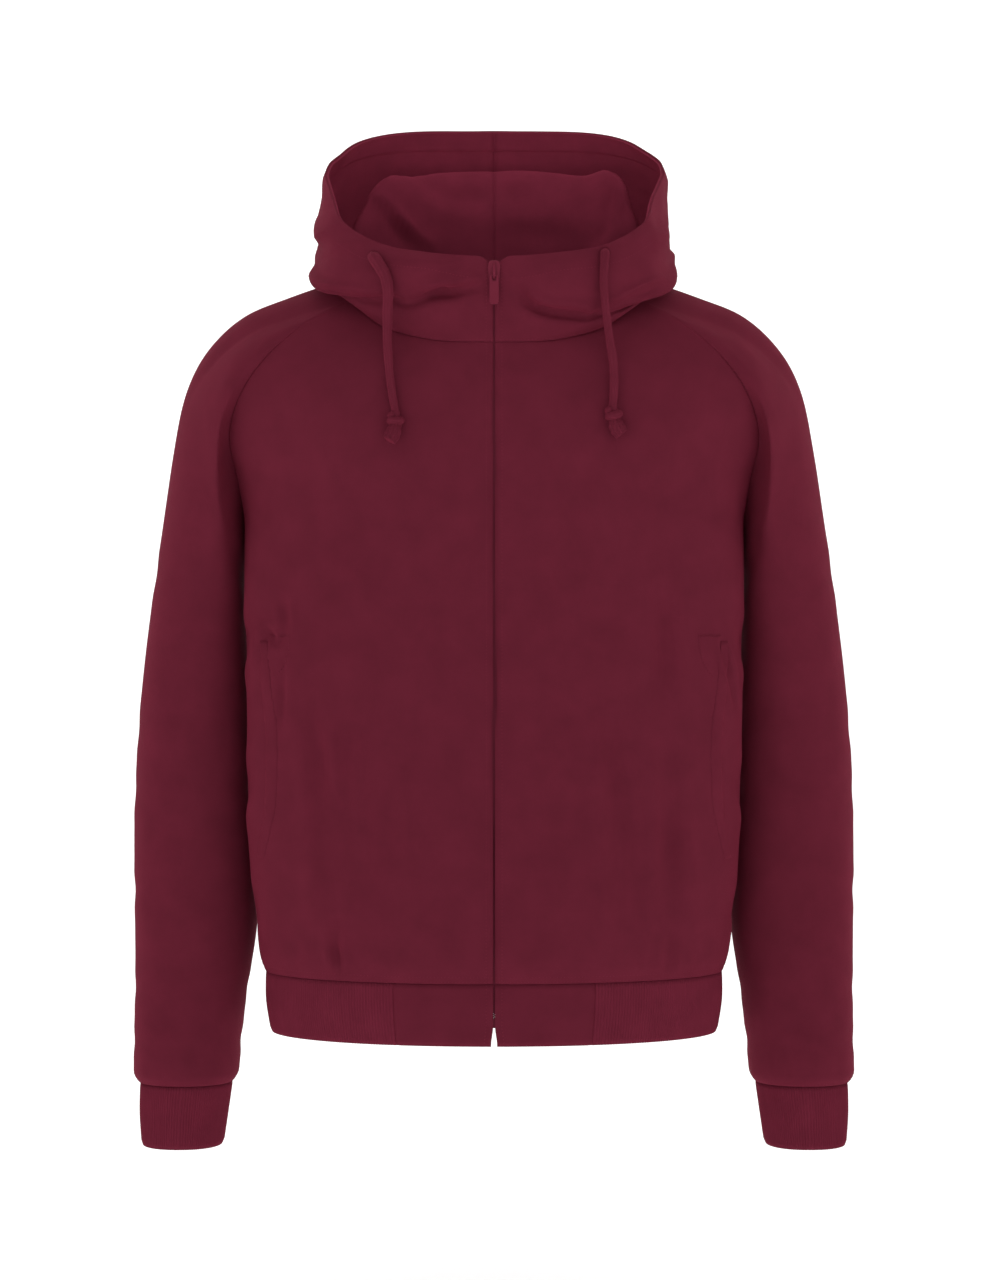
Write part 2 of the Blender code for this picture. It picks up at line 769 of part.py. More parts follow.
def ribbed_band(name, rings, inner_rings, finish, closed):
    """A band whose outer points carry ribs over a plain inside with fewer points.

    rings and inner_rings are lists of rows, each a list of points from one end of the band to the
    other, or right round it when closed.
    """
    outer_count = len(rings[0])
    inner_count = len(inner_rings[0])
    points = [point for ring in rings for point in ring]
    start = len(points)
    points += [point for ring in inner_rings for point in ring]
    faces = []

    def strip(base, count, row):
        spans = count if closed else count - 1
        for i in range(spans):
            j = (i + 1) % count
            a, b = base + row * count, base + (row + 1) * count
            faces.append((a + i, a + j, b + j, b + i))

    for row in range(len(rings) - 1):
        strip(0, outer_count, row)
    for row in range(len(inner_rings) - 1):
        strip(start, inner_count, row)
    last_outer = (len(rings) - 1) * outer_count
    last_inner = start + (len(inner_rings) - 1) * inner_count
    for outer_base, inner_base in ((0, start), (last_outer, last_inner)):
        stitch(faces, outer_base, outer_count, inner_base, inner_count, closed)
    if not closed:
        for outer_end, inner_end in ((0, 0), (outer_count - 1, inner_count - 1)):
            edge = [row * outer_count + outer_end for row in range(len(rings))]
            back = [start + row * inner_count + inner_end for row in range(len(inner_rings))]
            faces.append(tuple(edge + back[::-1]))
    return solid(name, points, faces, finish)


def stitch(faces, outer_base, outer_count, inner_base, inner_count, closed):
    """Triangles between two rows with different numbers of points."""
    outer_spans = outer_count if closed else outer_count - 1
    inner_spans = inner_count if closed else inner_count - 1
    i = j = 0
    while i < outer_spans or j < inner_spans:
        here = outer_base + i % outer_count
        there = inner_base + j % inner_count
        if j >= inner_spans or (i < outer_spans and (i + 1) * inner_spans <= (j + 1) * outer_spans):
            faces.append((here, outer_base + (i + 1) % outer_count, there))
            i += 1
        else:
            faces.append((here, inner_base + (j + 1) % inner_count, there))
            j += 1


def cuff_ring(level, side, count, moved_in, ribs):
    x_out, x_in, middle_y, half_depth = cuff_table(level)
    ring = []
    for i in range(count):
        angle = 2 * math.pi * i / count
        shrink = moved_in - (RIB_RAISE if ribs and i % 2 == 0 else 0.0)
        out = np.array([x_out - shrink, middle_y, level])
        inside = np.array([x_in + shrink, middle_y, level])
        point = oval(out, inside, middle_y, half_depth - shrink, SLEEVE_ROUND, angle)
        ring.append(to_side(point, side))
    return ring


def make_cuff(name, side, finish):
    levels = [row[0] for row in CUFF]
    rings = [cuff_ring(level, side, 2 * CUFF_RIBS, RIB_RAISE, True) for level in levels]
    inner = [cuff_ring(level, side, PLAIN_SIDES, RIB_RAISE + RIB_CLOTH, False) for level in levels]
    return ribbed_band(name, rings, inner, finish, closed=True)


# ---------------------------------------------------------------- hem band


def hem_point(level, turn, moved_in):
    """A point of the hem band; turn runs from 0 at the centre front to 360, towards +X first."""
    half_width, side_y, front_y, back_y = hem_table(level)
    turned = turn % 360
    side = 1 if turned <= 180 else -1
    quarter = turned if side > 0 else 360 - turned
    back = quarter > 90
    share = (180 - quarter) / 90 if back else quarter / 90
    middle_y = back_y - moved_in if back else front_y + moved_in
    centre = np.array([0.0, middle_y, level])
    edge = np.array([half_width - moved_in, side_y, level])
    return to_side(across(centre, edge, math.pi / 2, roundness(level), share), side)


def make_hem_rib(name, finish):
    levels = [row[0] for row in HEM]
    first = HEM_INSERT_TURN + math.degrees(SEAM_GAP / BAND_REACH)
    outer_turns = np.linspace(first, 360 - first, 2 * HEM_RIBS + 1)
    inner_turns = np.linspace(first, 360 - first, 2 * PLAIN_SIDES + 1)
    rings = []
    for level in levels:
        ring = []
        for i, turn in enumerate(outer_turns):
            ring.append(hem_point(level, turn, 0.0 if i % 2 else RIB_RAISE))
        rings.append(ring)
    inner = [[hem_point(level, turn, RIB_RAISE + RIB_CLOTH) for turn in inner_turns] for level in levels]
    return ribbed_band(name, rings, inner, finish, closed=False)


def insert_ring(level, side, moved_in):
    turns = np.linspace(0, HEM_INSERT_TURN, INSERT_COLUMNS)
    points = [to_side(hem_point(level, turn, moved_in), side) for turn in turns]
    points[0][0] = ZIP_EDGE * side
    return points


def make_hem_insert(name, side, finish):
    levels = [row[0] for row in HEM]
    rings = [insert_ring(level, side, 0.0) for level in levels]
    inner = [insert_ring(level, side, FLEECE) for level in levels]
    return ribbed_band(name, rings, inner, finish, closed=False)


# ---------------------------------------------------------------- hood


def outwards(degrees):
    angle = math.radians(degrees)
    return np.array([math.sin(angle), -math.cos(angle), 0.0])


def hood_point(side, degrees, share):
    """A point of the hood half; share runs from the neck seam (0) to the face edge (1)."""
    seam = neck_ring(degrees) + np.array([0.0, 0.0, SEAM_GAP])
    rim = rim_ring(degrees)
    crease_share, *crease = crease_tables[side](degrees)
    crease = np.array(crease)
    out = outwards(degrees)
    free = ease(*FREE_OF_ZIP, degrees)
    own = mix(share, shelf_table(share)[0], ease(*SHELF_TURN, degrees))
    if own < crease_share:
        w = own / crease_share
        low = mix(seam, crease, w) + out * BAND_BULGE * free * math.sin(math.pi * w)
    else:
        w = (own - crease_share) / (1 - crease_share)
        to_the_side = ease(*SIDE_ROLL_TURN, degrees)
        roll_out, roll_up = mix(roll_front(w) * free, roll_side(w), to_the_side)
        low = mix(crease, rim, w) + out * roll_out + np.array([0.0, 0.0, roll_up])
    pouch_out, pouch_up = pouch_table(share)
    high = mix(seam, rim, share) + out * pouch_out + np.array([0.0, 0.0, pouch_up])
    ridge = ease(*POUCH_OUT[side], degrees)
    rise = ease(*RIDGE_UP[side], degrees)
    drop = ease(*POUCH_DROP[side], degrees)
    later = ease(*POUCH_START, share)
    point = mix(low, high, mix(rise, ridge, later))
    point[2] = mix(low[2], high[2], mix(rise, drop, later))
    return to_side(point, side)


def hood_shares(side, degrees):
    """Shares up the hood: spaced by length, and one on the end of the turned-in hem."""
    shares = np.linspace(0, 1, HOOD_SAMPLES)
    points = np.array([hood_point(side, degrees, share) for share in shares])
    steps = np.linalg.norm(np.diff(points, axis=0), axis=1)
    steps += steps.sum() * HOOD_EVENNESS / len(steps)
    lengths = np.concatenate([[0], np.cumsum(steps)])
    whole = lengths[-1]
    fold = whole - RIM_HEM * (1 + HOOD_EVENNESS)
    low = np.linspace(0, fold, HOOD_ROWS)
    edge = np.linspace(fold, whole, HEM_FOLD_ROWS + 1)
    return np.interp(np.concatenate([low, edge[1:]]), lengths, shares)


def hood_degrees():
    """Angles round the hood half: those of the front, the sleeve and the back along the neck seam."""
    front = np.linspace(0, RAGLAN_FRONT_DEGREES, PANEL_SPANS + 1)
    sleeve = [RAGLAN_FRONT_DEGREES, 90, RAGLAN_BACK_DEGREES]
    sleeve = np.interp(np.linspace(0, 2, NECK_SPANS + 1), range(3), sleeve)
    back = np.linspace(RAGLAN_BACK_DEGREES, 180, BACK_SPANS + 1)
    return np.concatenate([front, sleeve[1:], back[1:]])


@lru_cache
def hood_grid(side):
    grid = []
    for degrees in hood_degrees():
        grid.append([hood_point(side, degrees, share) for share in hood_shares(side, degrees)])
    grid = np.array(grid)
    grid[0, :, 0] = ZIP_EDGE * side
    grid[-1, :, 0] = SEAM_GAP / 2 * side
    return grid


def make_hood(name, side, finish):
    edges = {"low": to_neck}
    return wall(name, hood_grid(side), FLEECE, finish, flip=-side, edges=edges, upright=(0, -1))


def make_hood_hem(name, side, finish):
    """The face edge's turned-in hem, which lies on the last rows of the hood's inside."""
    grid = hood_grid(side)
    inward = inward_normals(grid, False, -side)
    for column in (0, -1):
        inward[column, :, 0] = 0.0
        inward[column] = np.array([unit(vector) for vector in inward[column]])
    rows = slice(-1 - HEM_FOLD_ROWS, None)
    strip = grid[:, rows] + inward[:, rows] * (FLEECE + SEAM_GAP)
    strip[:, -1] = mix(strip[:, -1], strip[:, -2], RIM_SETBACK)
    for row in range(strip.shape[1]):
        start, beside = strip[0, row], strip[1, row]
        share = (TAPE_OUT + 2 * SEAM_GAP - abs(start[0])) / abs(beside[0] - start[0])
        strip[0, row] = mix(start, beside, share)
    return wall(name, strip, HEM_LAYER, finish, flip=-side, upright=(0, -1))


# ---------------------------------------------------------------- zip


def zip_line(side, bottom, top):
    """Rows of the front edge between two levels: the edge point and the cloth's slope beside it."""
    insert = np.array([insert_ring(row[0], side, 0.0) for row in HEM[::-1]])
    edges = list(zip(insert[:, 0], insert[:, 1]))
    for grid in (front_grid(side), hood_grid(side)):
        edges += list(zip(grid[0], grid[1]))
    kept = [edges[0]]
    for edge, beside in edges[1:]:
        if edge[2] - kept[-1][0][2] > ZIP_ROW_STEP:
            kept.append((edge, beside))
    levels = [edge[2] for edge, beside in kept]
    depths = [edge[1] for edge, beside in kept]
    slopes = [(beside[1] - edge[1]) / abs(beside[0] - edge[0]) for edge, beside in kept]
    room = ZIP_ROW_STEP / 2
    rows = [bottom] + [level for level in levels if bottom + room < level < top - room] + [top]
    return [(level, np.interp(level, levels, depths), np.interp(level, levels, slopes)) for level in rows]


def zip_normals(rows):
    """Inward unit vectors, square to the zip's line in its own upright plane."""
    line = np.array([[row[1], row[0]] for row in rows])
    run = np.gradient(line, axis=0)
    return np.array([unit(np.array([0.0, step[1], -step[0]])) for step in run])


def make_tape(name, side, finish):
    rows = zip_line(side, ZIP_BOTTOM, TAPE_TOP)
    inward = zip_normals(rows)
    grid = []
    for x in (TAPE_IN, TAPE_OUT):
        column = [[x * side, y + slope * (x - ZIP_EDGE), level] for level, y, slope in rows]
        grid.append(np.array(column) + inward * (FLEECE + SEAM_GAP))
    return wall(name, np.array(grid), TAPE_THICK, finish, flip=-side, upright=(0, 1))


def zip_bar(name, bottom, top, depths, finish):
    """A bar between the two front edges, along the zip's line."""
    rows = zip_line(1, bottom, top)
    front, back = depths
    corners = ((-CHAIN_HALF, front), (CHAIN_HALF, front), (CHAIN_HALF, back), (-CHAIN_HALF, back))
    rings = []
    for row, inward in zip(rows, zip_normals(rows)):
        rings.append([np.array([x, row[1], row[0]]) + inward * depth for x, depth in corners])
    return bar(name, rings, finish)


@lru_cache
def slider_frame():
    """The slider's middle on the zip's line, and its directions up and out."""
    first = zip_line(1, SLIDER_MIDDLE - SLIDER_SEAT[0], SLIDER_MIDDLE)[0]
    last = zip_line(1, SLIDER_MIDDLE, SLIDER_MIDDLE + SLIDER_SEAT[1])[-1]
    up = unit(np.array([0.0, last[1] - first[1], last[0] - first[0]]))
    out = np.array([0.0, -up[2], up[1]])
    start = np.array([0.0, first[1], first[0]])
    middle = start + up * ((SLIDER_MIDDLE - first[0]) / up[2])
    return middle, up, out


def on_slider(across_it, up_it, rise):
    """A point by the slider's own measures; rise counts out from the zip's line."""
    middle, up, out = slider_frame()
    return middle + np.array([across_it, 0.0, 0.0]) + up * up_it + out * rise


def both_sides(outline):
    """A closed outline from its right half, listed from the bottom up."""
    return list(outline) + [(-x, z) for x, z in outline[::-1]]


def make_slider(name, finish):
    plate = both_sides(SLIDER_OUTLINE)
    post = both_sides(POST_OUTLINE)
    front, under, over, back = SLIDER_DEPTHS
    steps = ((plate, front), (plate, under), (post, under), (post, over), (plate, over), (plate, back))
    rings = [[on_slider(x, z, -depth) for x, z in outline] for outline, depth in steps]
    return bar(name, rings, finish)


def make_bail(name, finish):
    face = -SLIDER_DEPTHS[0]
    path = np.array(BAIL)
    run = np.gradient(path, axis=0)
    rings = []
    for (up_it, rise), step in zip(path, run):
        square = np.array([-step[1], step[0]]) / np.linalg.norm(step) * BAIL_THICK / 2
        ring = []
        for sign, half in ((-1, 1), (1, 1), (1, -1), (-1, -1)):
            up_here, rise_here = (up_it, rise) + square * half
            ring.append(on_slider(sign * BAIL_HALF, up_here, face + rise_here))
        rings.append(ring)
    return bar(name, rings, finish)


def pivot_point():
    return on_slider(0.0, PIVOT_UP, -SLIDER_DEPTHS[0] + PIVOT_RISE)


def make_pull(name, finish):
    """The pull tab with its window; its origin lies on the pivot."""
    rows = list(TAB) + [(-a, b, -c, d) for a, b, c, d in TAB[-2:0:-1]]
    points = []
    for depth_side in (-1, 1):
        for outer in (True, False):
            for a, b, c, d in rows:
                x, z = (a, b) if outer else (c, d)
                thick = BAR_THICK if z > BAR_BOTTOM else TAB_THICK
                points.append((x, depth_side * thick / 2, z))
    count = len(rows)
    loops = (0, count, 3 * count, 2 * count)
    faces = []
    for first, second in zip(loops, loops[1:] + loops[:1]):
        for i in range(count):
            j = (i + 1) % count
            faces.append((first + i, first + j, second + j, second + i))
    made = solid(name, points, faces, finish, smooth=False)
    made.location = tuple(pivot_point())
    return made


# ---------------------------------------------------------------- drawcord


def cord_points(route):
    """Points of a smooth curve through the route, evenly spaced."""
    curve = along(route)
    length = np.linalg.norm(np.diff(np.array(route), axis=0), axis=1).sum()
    return [curve(share) for share in np.linspace(0, 1, round(length / CORD_STEP) + 1)]


def make_cord(name, route, finish):
    line = bpy.data.curves.new(name, "CURVE")
    line.dimensions = "3D"
    line.bevel_depth = CORD / 2
    line.bevel_resolution = 3
    line.use_fill_caps = True
    points = cord_points(route)
    spline = line.splines.new("POLY")
    spline.points.add(len(points) - 1)
    for place, point in zip(spline.points, points):
        place.co = (*point, 1.0)
    spline.use_smooth = True
    line.materials.append(finish)
    made = bpy.data.objects.new(name, line)
    bpy.context.scene.collection.objects.link(made)
    return made


def make_knot(name, route, turn, finish):
    """The knot under the end of a cord, with the short end that sticks out of it."""
    points = cord_points(route)
    start = unit(points[-1] - points[-2])
    middle = points[-1] + start * SEAM_GAP
    last = 0.0
    rings = []
    for distance, half in KNOT:
        down = unit(mix(start, np.array(turn), ease(*KNOT_TURN, distance)))
        middle = middle + down * (distance - last)
        last = distance
        across_it = unit(np.cross(down, np.array([0.0, 1.0, 0.0])))
        depth_it = np.cross(down, across_it)
        ring = []
        for angle in np.linspace(0, 2 * math.pi, KNOT_SIDES, endpoint=False):
            away = across_it * math.cos(angle) + depth_it * math.sin(angle) * KNOT_FLAT
            ring.append(middle + away * half)
        rings.append(ring)
    return bar(name, rings, finish, smooth=True)


# ---------------------------------------------------------------- build


def clear_scene():
    for thing in list(bpy.data.objects):
        bpy.data.objects.remove(thing, do_unlink=True)


def main():
    clear_scene()
    burgundy = (0.125, 0.015, 0.031)
    fleece = material("fleece", burgundy, 0.9)
    rib = material("rib", (0.11, 0.013, 0.027), 0.92)
    make_front("front_left", 1, fleece)
    make_front("front_right", -1, fleece)
    make_back("back", fleece)
    make_sleeve("sleeve_left", 1, fleece)
    make_sleeve("sleeve_right", -1, fleece)
    make_cuff("cuff_left", 1, rib)
    make_cuff("cuff_right", -1, rib)
    make_hem_rib("hem_rib", rib)
    make_hem_insert("hem_insert_left", 1, fleece)
    make_hem_insert("hem_insert_right", -1, fleece)
    make_hood("hood_left", 1, fleece)
    make_hood("hood_right", -1, fleece)
    make_hood_hem("hood_hem_left", 1, fleece)
    make_hood_hem("hood_hem_right", -1, fleece)
    make_welt("pocket_welt_left", 1, fleece)
    make_welt("pocket_welt_right", -1, fleece)
    tape = material("zip tape", (0.10, 0.012, 0.026), 0.85)
    teeth = material("zip teeth", (0.10, 0.013, 0.027), 0.45)
    metal = material("slider metal", (0.16, 0.03, 0.045), 0.35)
    cord = material("drawcord", (0.12, 0.015, 0.031), 0.9)
    make_tape("zip_tape_left", 1, tape)
    make_tape("zip_tape_right", -1, tape)
    zip_bar("zip_chain", STOP_TOP + SEAM_GAP, CHAIN_TOP, CHAIN_DEPTHS, teeth)
    zip_bar("zip_stop", ZIP_BOTTOM, STOP_TOP, STOP_DEPTHS, teeth)
    make_slider("zip_slider", metal)
    make_bail("zip_bail", metal)
    make_pull("zip_pull", metal)
    make_cord("drawcord_left", CORD_LEFT, cord)
    make_cord("drawcord_right", CORD_RIGHT, cord)
    make_knot("knot_left", CORD_LEFT, TURN_LEFT, cord)
    make_knot("knot_right", CORD_RIGHT, TURN_RIGHT, cord)


main()
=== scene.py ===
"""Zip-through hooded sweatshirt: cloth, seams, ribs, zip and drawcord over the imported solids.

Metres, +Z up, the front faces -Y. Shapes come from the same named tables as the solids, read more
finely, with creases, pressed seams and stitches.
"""

import math
from functools import lru_cache

import bmesh
import bpy
import numpy as np
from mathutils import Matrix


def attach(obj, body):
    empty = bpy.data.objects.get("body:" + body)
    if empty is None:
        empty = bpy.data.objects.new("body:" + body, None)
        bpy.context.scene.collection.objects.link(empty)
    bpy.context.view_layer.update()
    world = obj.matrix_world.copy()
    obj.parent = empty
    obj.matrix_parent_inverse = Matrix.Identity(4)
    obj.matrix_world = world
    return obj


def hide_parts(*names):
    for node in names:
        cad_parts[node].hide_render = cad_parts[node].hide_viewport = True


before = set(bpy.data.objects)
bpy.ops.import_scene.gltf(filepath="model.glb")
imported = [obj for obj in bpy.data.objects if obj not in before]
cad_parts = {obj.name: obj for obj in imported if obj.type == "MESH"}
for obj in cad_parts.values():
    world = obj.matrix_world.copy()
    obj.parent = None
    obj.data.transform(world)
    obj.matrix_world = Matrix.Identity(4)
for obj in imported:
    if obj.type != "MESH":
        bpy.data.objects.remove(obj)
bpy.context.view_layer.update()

# ---------------------------------------------------------------- sizes

FLEECE = 0.0021
RIB_CLOTH = 0.0022
RIB_RAISE = 0.0007
HEM_LAYER = 0.0016
SEAM_GAP = 0.00004
# Lengths over which the seam gaps are taken off: a panel's width, the raglan's height, the band's reach
PANEL_WIDTH = 0.30
RAGLAN_HEIGHT = 0.15
BAND_REACH = 0.20

HEM_SEAM = -0.630
UNDERARM = -0.215
CUFF_SEAM = -0.737

FRONT_COLUMNS = 25
BACK_COLUMNS = 21
LOWER_ROWS = 40
UPPER_ROWS = 24
SLEEVE_COLUMNS = 44
SLEEVE_ROWS = 64
HOOD_ROWS = 46
HOOD_SAMPLES = 161
HEM_FOLD_ROWS = 5
FINER = 3

CUFF_RIBS = 118
HEM_RIBS = 372
RIB_STEPS = 6

ZIP_EDGE = 0.0008
NOTCH_DEPTH = 0.0070
HEM_NOTCH = 0.0020
NOTCH_REACH = (0.0015, 0.0125)
NOTCH_LEVELS = (-0.030, 0.014)
ZIP_BOTTOM = -0.6690
STOP_TOP = -0.6610
CHAIN_TOP = 0.0010
TAPE_IN = 0.0012
TAPE_OUT = 0.0140
TAPE_TOP = 0.0065
TOOTH_PITCH = 0.0019

NECK = (
    # degrees, x, y, z
    (0, 0.000, -0.110, -0.060),
    (25, 0.058, -0.104, -0.057),
    (45, 0.103, -0.085, -0.042),
    (62, 0.131, -0.056, -0.015),
    (90, 0.142, -0.008, 0.008),
    (120, 0.122, 0.050, 0.016),
    (150, 0.066, 0.088, 0.010),
    (180, 0.000, 0.098, 0.004),
)
RAGLAN_FRONT_DEGREES = 62
RAGLAN_BACK_DEGREES = 120
BODY = (
    # z, half width, y of the side seam, y of the centre front, y of the centre back
    (-0.630, 0.2120, -0.004, -0.113, 0.106),
    (-0.618, 0.2160, -0.004, -0.119, 0.112),
    (-0.590, 0.2190, -0.006, -0.123, 0.117),
    (-0.540, 0.2250, -0.010, -0.125, 0.118),
    (-0.470, 0.2275, -0.012, -0.124, 0.113),
    (-0.400, 0.2280, -0.014, -0.122, 0.107),
    (-0.330, 0.2290, -0.013, -0.121, 0.106),
    (-0.270, 0.2310, -0.006, -0.121, 0.111),
    (-0.215, 0.2320, 0.008, -0.122, 0.119),
)
FRONT_LINE = (
    # z, y above the underarm
    (-0.215, -0.122),
    (-0.150, -0.122),
    (-0.100, -0.118),
    (-0.060, -0.110),
)
BACK_LINE = (
    # z, y above the underarm
    (-0.215, 0.119),
    (-0.150, 0.127),
    (-0.080, 0.127),
    (-0.030, 0.116),
    (0.004, 0.098),
)
RAGLAN_FRONT = (
    # x, y, z
    (0.232, 0.008, -0.215),
    (0.236, -0.026, -0.178),
    (0.240, -0.060, -0.136),
    (0.225, -0.083, -0.098),
    (0.200, -0.087, -0.066),
    (0.168, -0.078, -0.038),
)
RAGLAN_BACK = (
    # x, y, z
    (0.232, 0.008, -0.215),
    (0.235, 0.050, -0.182),
    (0.231, 0.092, -0.134),
    (0.210, 0.110, -0.085),
    (0.180, 0.106, -0.045),
    (0.150, 0.086, -0.012),
)
RAGLAN_TURN = (
    # share of the raglan seam, degrees that a row turns through on its way to it
    (0.00, 90),
    (0.15, 80),
    (0.40, 64),
    (0.70, 58),
    (1.00, 60),
)
SLEEVE = (
    # share, x and z outside, x and z inside, y of the middle, half depth
    (0.00, 0.150, 0.006, 0.232, -0.215, 0.010, 0.078),
    (0.07, 0.197, -0.009, 0.2326, -0.226, 0.011, 0.082),
    (0.14, 0.237, -0.025, 0.2326, -0.240, 0.014, 0.084),
    (0.21, 0.268, -0.054, 0.2328, -0.257, 0.019, 0.083),
    (0.28, 0.287, -0.091, 0.2330, -0.276, 0.025, 0.081),
    (0.35, 0.299, -0.145, 0.2320, -0.301, 0.030, 0.078),
    (0.43, 0.310, -0.212, 0.2305, -0.334, 0.035, 0.074),
    (0.51, 0.321, -0.285, 0.2290, -0.374, 0.038, 0.070),
    (0.59, 0.331, -0.362, 0.2275, -0.418, 0.040, 0.067),
    (0.67, 0.337, -0.440, 0.2260, -0.468, 0.041, 0.064),
    (0.75, 0.339, -0.515, 0.2235, -0.525, 0.040, 0.061),
    (0.83, 0.338, -0.590, 0.2235, -0.590, 0.036, 0.058),
    (0.90, 0.337, -0.655, 0.2325, -0.655, 0.029, 0.054),
    (0.96, 0.337, -0.712, 0.2385, -0.712, 0.023, 0.050),
    (0.985, 0.337, -0.730, 0.2400, -0.730, 0.022, 0.047),
    (1.00, 0.333, -0.737, 0.2440, -0.737, 0.022, 0.042),
)
CUFF_MIDDLE = (0.288, 0.022)
SLEEVE_NECK_DEGREES = 36
SLEEVE_BLEND = 0.33
CUFF = (
    # z, x outside, x inside, y of the middle, half depth
    (-0.7373, 0.3315, 0.2450, 0.0220, 0.0415),
    (-0.7650, 0.3320, 0.2490, 0.0215, 0.0400),
    (-0.7960, 0.3300, 0.2535, 0.0210, 0.0380),
)
HEM = (
    # z, half width, y of the side, y of the front, y of the back
    (-0.6303, 0.2115, -0.004, -0.1125, 0.1055),
    (-0.6560, 0.2115, -0.004, -0.1120, 0.1050),
    (-0.6860, 0.2070, -0.004, -0.1090, 0.1020),
)
HEM_INSERT_TURN = 24
RIM = (
    # degrees, x, y, z
    (0, 0.000, -0.121, 0.014),
    (20, 0.052, -0.118, 0.018),
    (40, 0.098, -0.104, 0.027),
    (60, 0.133, -0.076, 0.050),
    (80, 0.150, -0.040, 0.078),
    (100, 0.156, 0.006, 0.108),
    (120, 0.149, 0.052, 0.135),
    (140, 0.127, 0.092, 0.158),
    (160, 0.082, 0.118, 0.171),
    (180, 0.000, 0.127, 0.174),
)
CREASE_RIGHT = (
    # degrees, share of the height, x, y, z
    (0, 0.52, 0.000, -0.116, -0.014),
    (20, 0.50, 0.045, -0.117, -0.017),
    (40, 0.44, 0.096, -0.103, -0.020),
    (60, 0.30, 0.138, -0.070, -0.011),
    (80, 0.14, 0.152, -0.030, 0.008),
    (105, 0.12, 0.148, 0.026, 0.018),
    (180, 0.12, 0.000, 0.102, 0.024),
)
CREASE_LEFT = (
    # degrees, share of the height, x, y, z
    (0, 0.52, 0.000, -0.116, -0.014),
    (20, 0.40, 0.046, -0.115, -0.031),
    (40, 0.36, 0.094, -0.100, -0.035),
    (60, 0.28, 0.136, -0.070, -0.014),
    (80, 0.14, 0.152, -0.030, 0.008),
    (105, 0.12, 0.148, 0.026, 0.018),
    (180, 0.12, 0.000, 0.102, 0.024),
)
ROLL_FRONT = (
    # share, out, up
    (0.00, 0.0000, 0.0000),
    (0.20, 0.0075, -0.0010),
    (0.45, 0.0120, 0.0000),
    (0.70, 0.0100, 0.0018),
    (1.00, 0.0000, 0.0000),
)
ROLL_SIDE = (
    # share, out, up
    (0.00, 0.0000, 0.0000),
    (0.08, 0.0093, -0.0100),
    (0.17, 0.0180, -0.0165),
    (0.27, 0.0198, -0.0165),
    (0.37, 0.0150, -0.0155),
    (0.50, 0.0132, -0.0125),
    (0.72, 0.0118, -0.0078),
    (0.88, 0.0065, -0.0025),
    (1.00, 0.0000, 0.0000),
)
POUCH = (
    # share, out, up, from the straight line between neck seam and face edge
    (0.00, 0.000, 0.000),
    (0.12, -0.006, 0.032),
    (0.24, -0.008, 0.066),
    (0.29, -0.003, 0.074),
    (0.34, 0.006, 0.060),
    (0.46, 0.020, -0.050),
    (0.55, 0.034, -0.140),
    (0.60, 0.048, -0.168),
    (0.66, 0.064, -0.168),
    (0.76, 0.070, -0.115),
    (0.88, 0.050, -0.050),
    (1.00, 0.000, 0.000),
)
POUCH_OUT = {-1: (100, 160), 1: (98, 153)}
POUCH_DROP = {-1: (104, 180), 1: (104, 178)}
POUCH_START = (0.24, 0.40)
RIDGE_UP = {-1: (110, 140), 1: (112, 136)}
SHELF = (
    # share up the hood, share up the side roll
    (0.00, 0.00),
    (0.15, 0.06),
    (0.29, 0.13),
    (0.44, 0.24),
    (0.60, 0.38),
    (0.80, 0.67),
    (1.00, 1.00),
)
SHELF_TURN = (76, 106)
FREE_OF_ZIP = (5, 24)
BAND_BULGE = 0.005
RIM_HEM = 0.020
HOOD_EVENNESS = 0.40

CORD_RIGHT = (
    # x, y, z
    (-0.1067, -0.1144, 0.0145),
    (-0.1046, -0.1175, 0.0114),
    (-0.1018, -0.1192, 0.0070),
    (-0.0988, -0.1205, 0.0022),
    (-0.0962, -0.1208, -0.0034),
    (-0.0944, -0.1209, -0.0098),
    (-0.0936, -0.1203, -0.0170),
    (-0.0938, -0.1197, -0.0270),
    (-0.0942, -0.1194, -0.0390),
    (-0.0943, -0.1194, -0.0520),
    (-0.0940, -0.1197, -0.0650),
    (-0.0932, -0.1202, -0.0780),
    (-0.0920, -0.1209, -0.0910),
    (-0.0904, -0.1219, -0.1040),
    (-0.0884, -0.1228, -0.1160),
    (-0.0866, -0.1241, -0.1254),
)
CORD_LEFT = (
    # x, y, z
    (0.0983, -0.1141, 0.0180),
    (0.0978, -0.1168, 0.0125),
    (0.0973, -0.1189, 0.0058),
    (0.0969, -0.1200, -0.0018),
    (0.0969, -0.1200, -0.0100),
    (0.0974, -0.1194, -0.0190),
    (0.0984, -0.1187, -0.0280),
    (0.0994, -0.1181, -0.0370),
    (0.1005, -0.1178, -0.0460),
    (0.1017, -0.1177, -0.0550),
    (0.1031, -0.1178, -0.0640),
    (0.1046, -0.1181, -0.0730),
    (0.1056, -0.1186, -0.0820),
    (0.1060, -0.1194, -0.0920),
    (0.1059, -0.1202, -0.1020),
    (0.1053, -0.1211, -0.1115),
    (0.1043, -0.1223, -0.1201),
)

# ---------------------------------------------------------------- creases
# Each crease is a soft trough with a low ridge on each side. Its line is drawn on the piece as it is
# seen from the front, from the back or into the hood (x, z), or from the side (y, z). In a hood front,
# the cloth above a line drawn from left to right hangs over it. On a sleeve, x counts outwards.
# A row has the depth, the width and then the line's points, all in tenths of a millimetre.
TENTH_MM = 10000

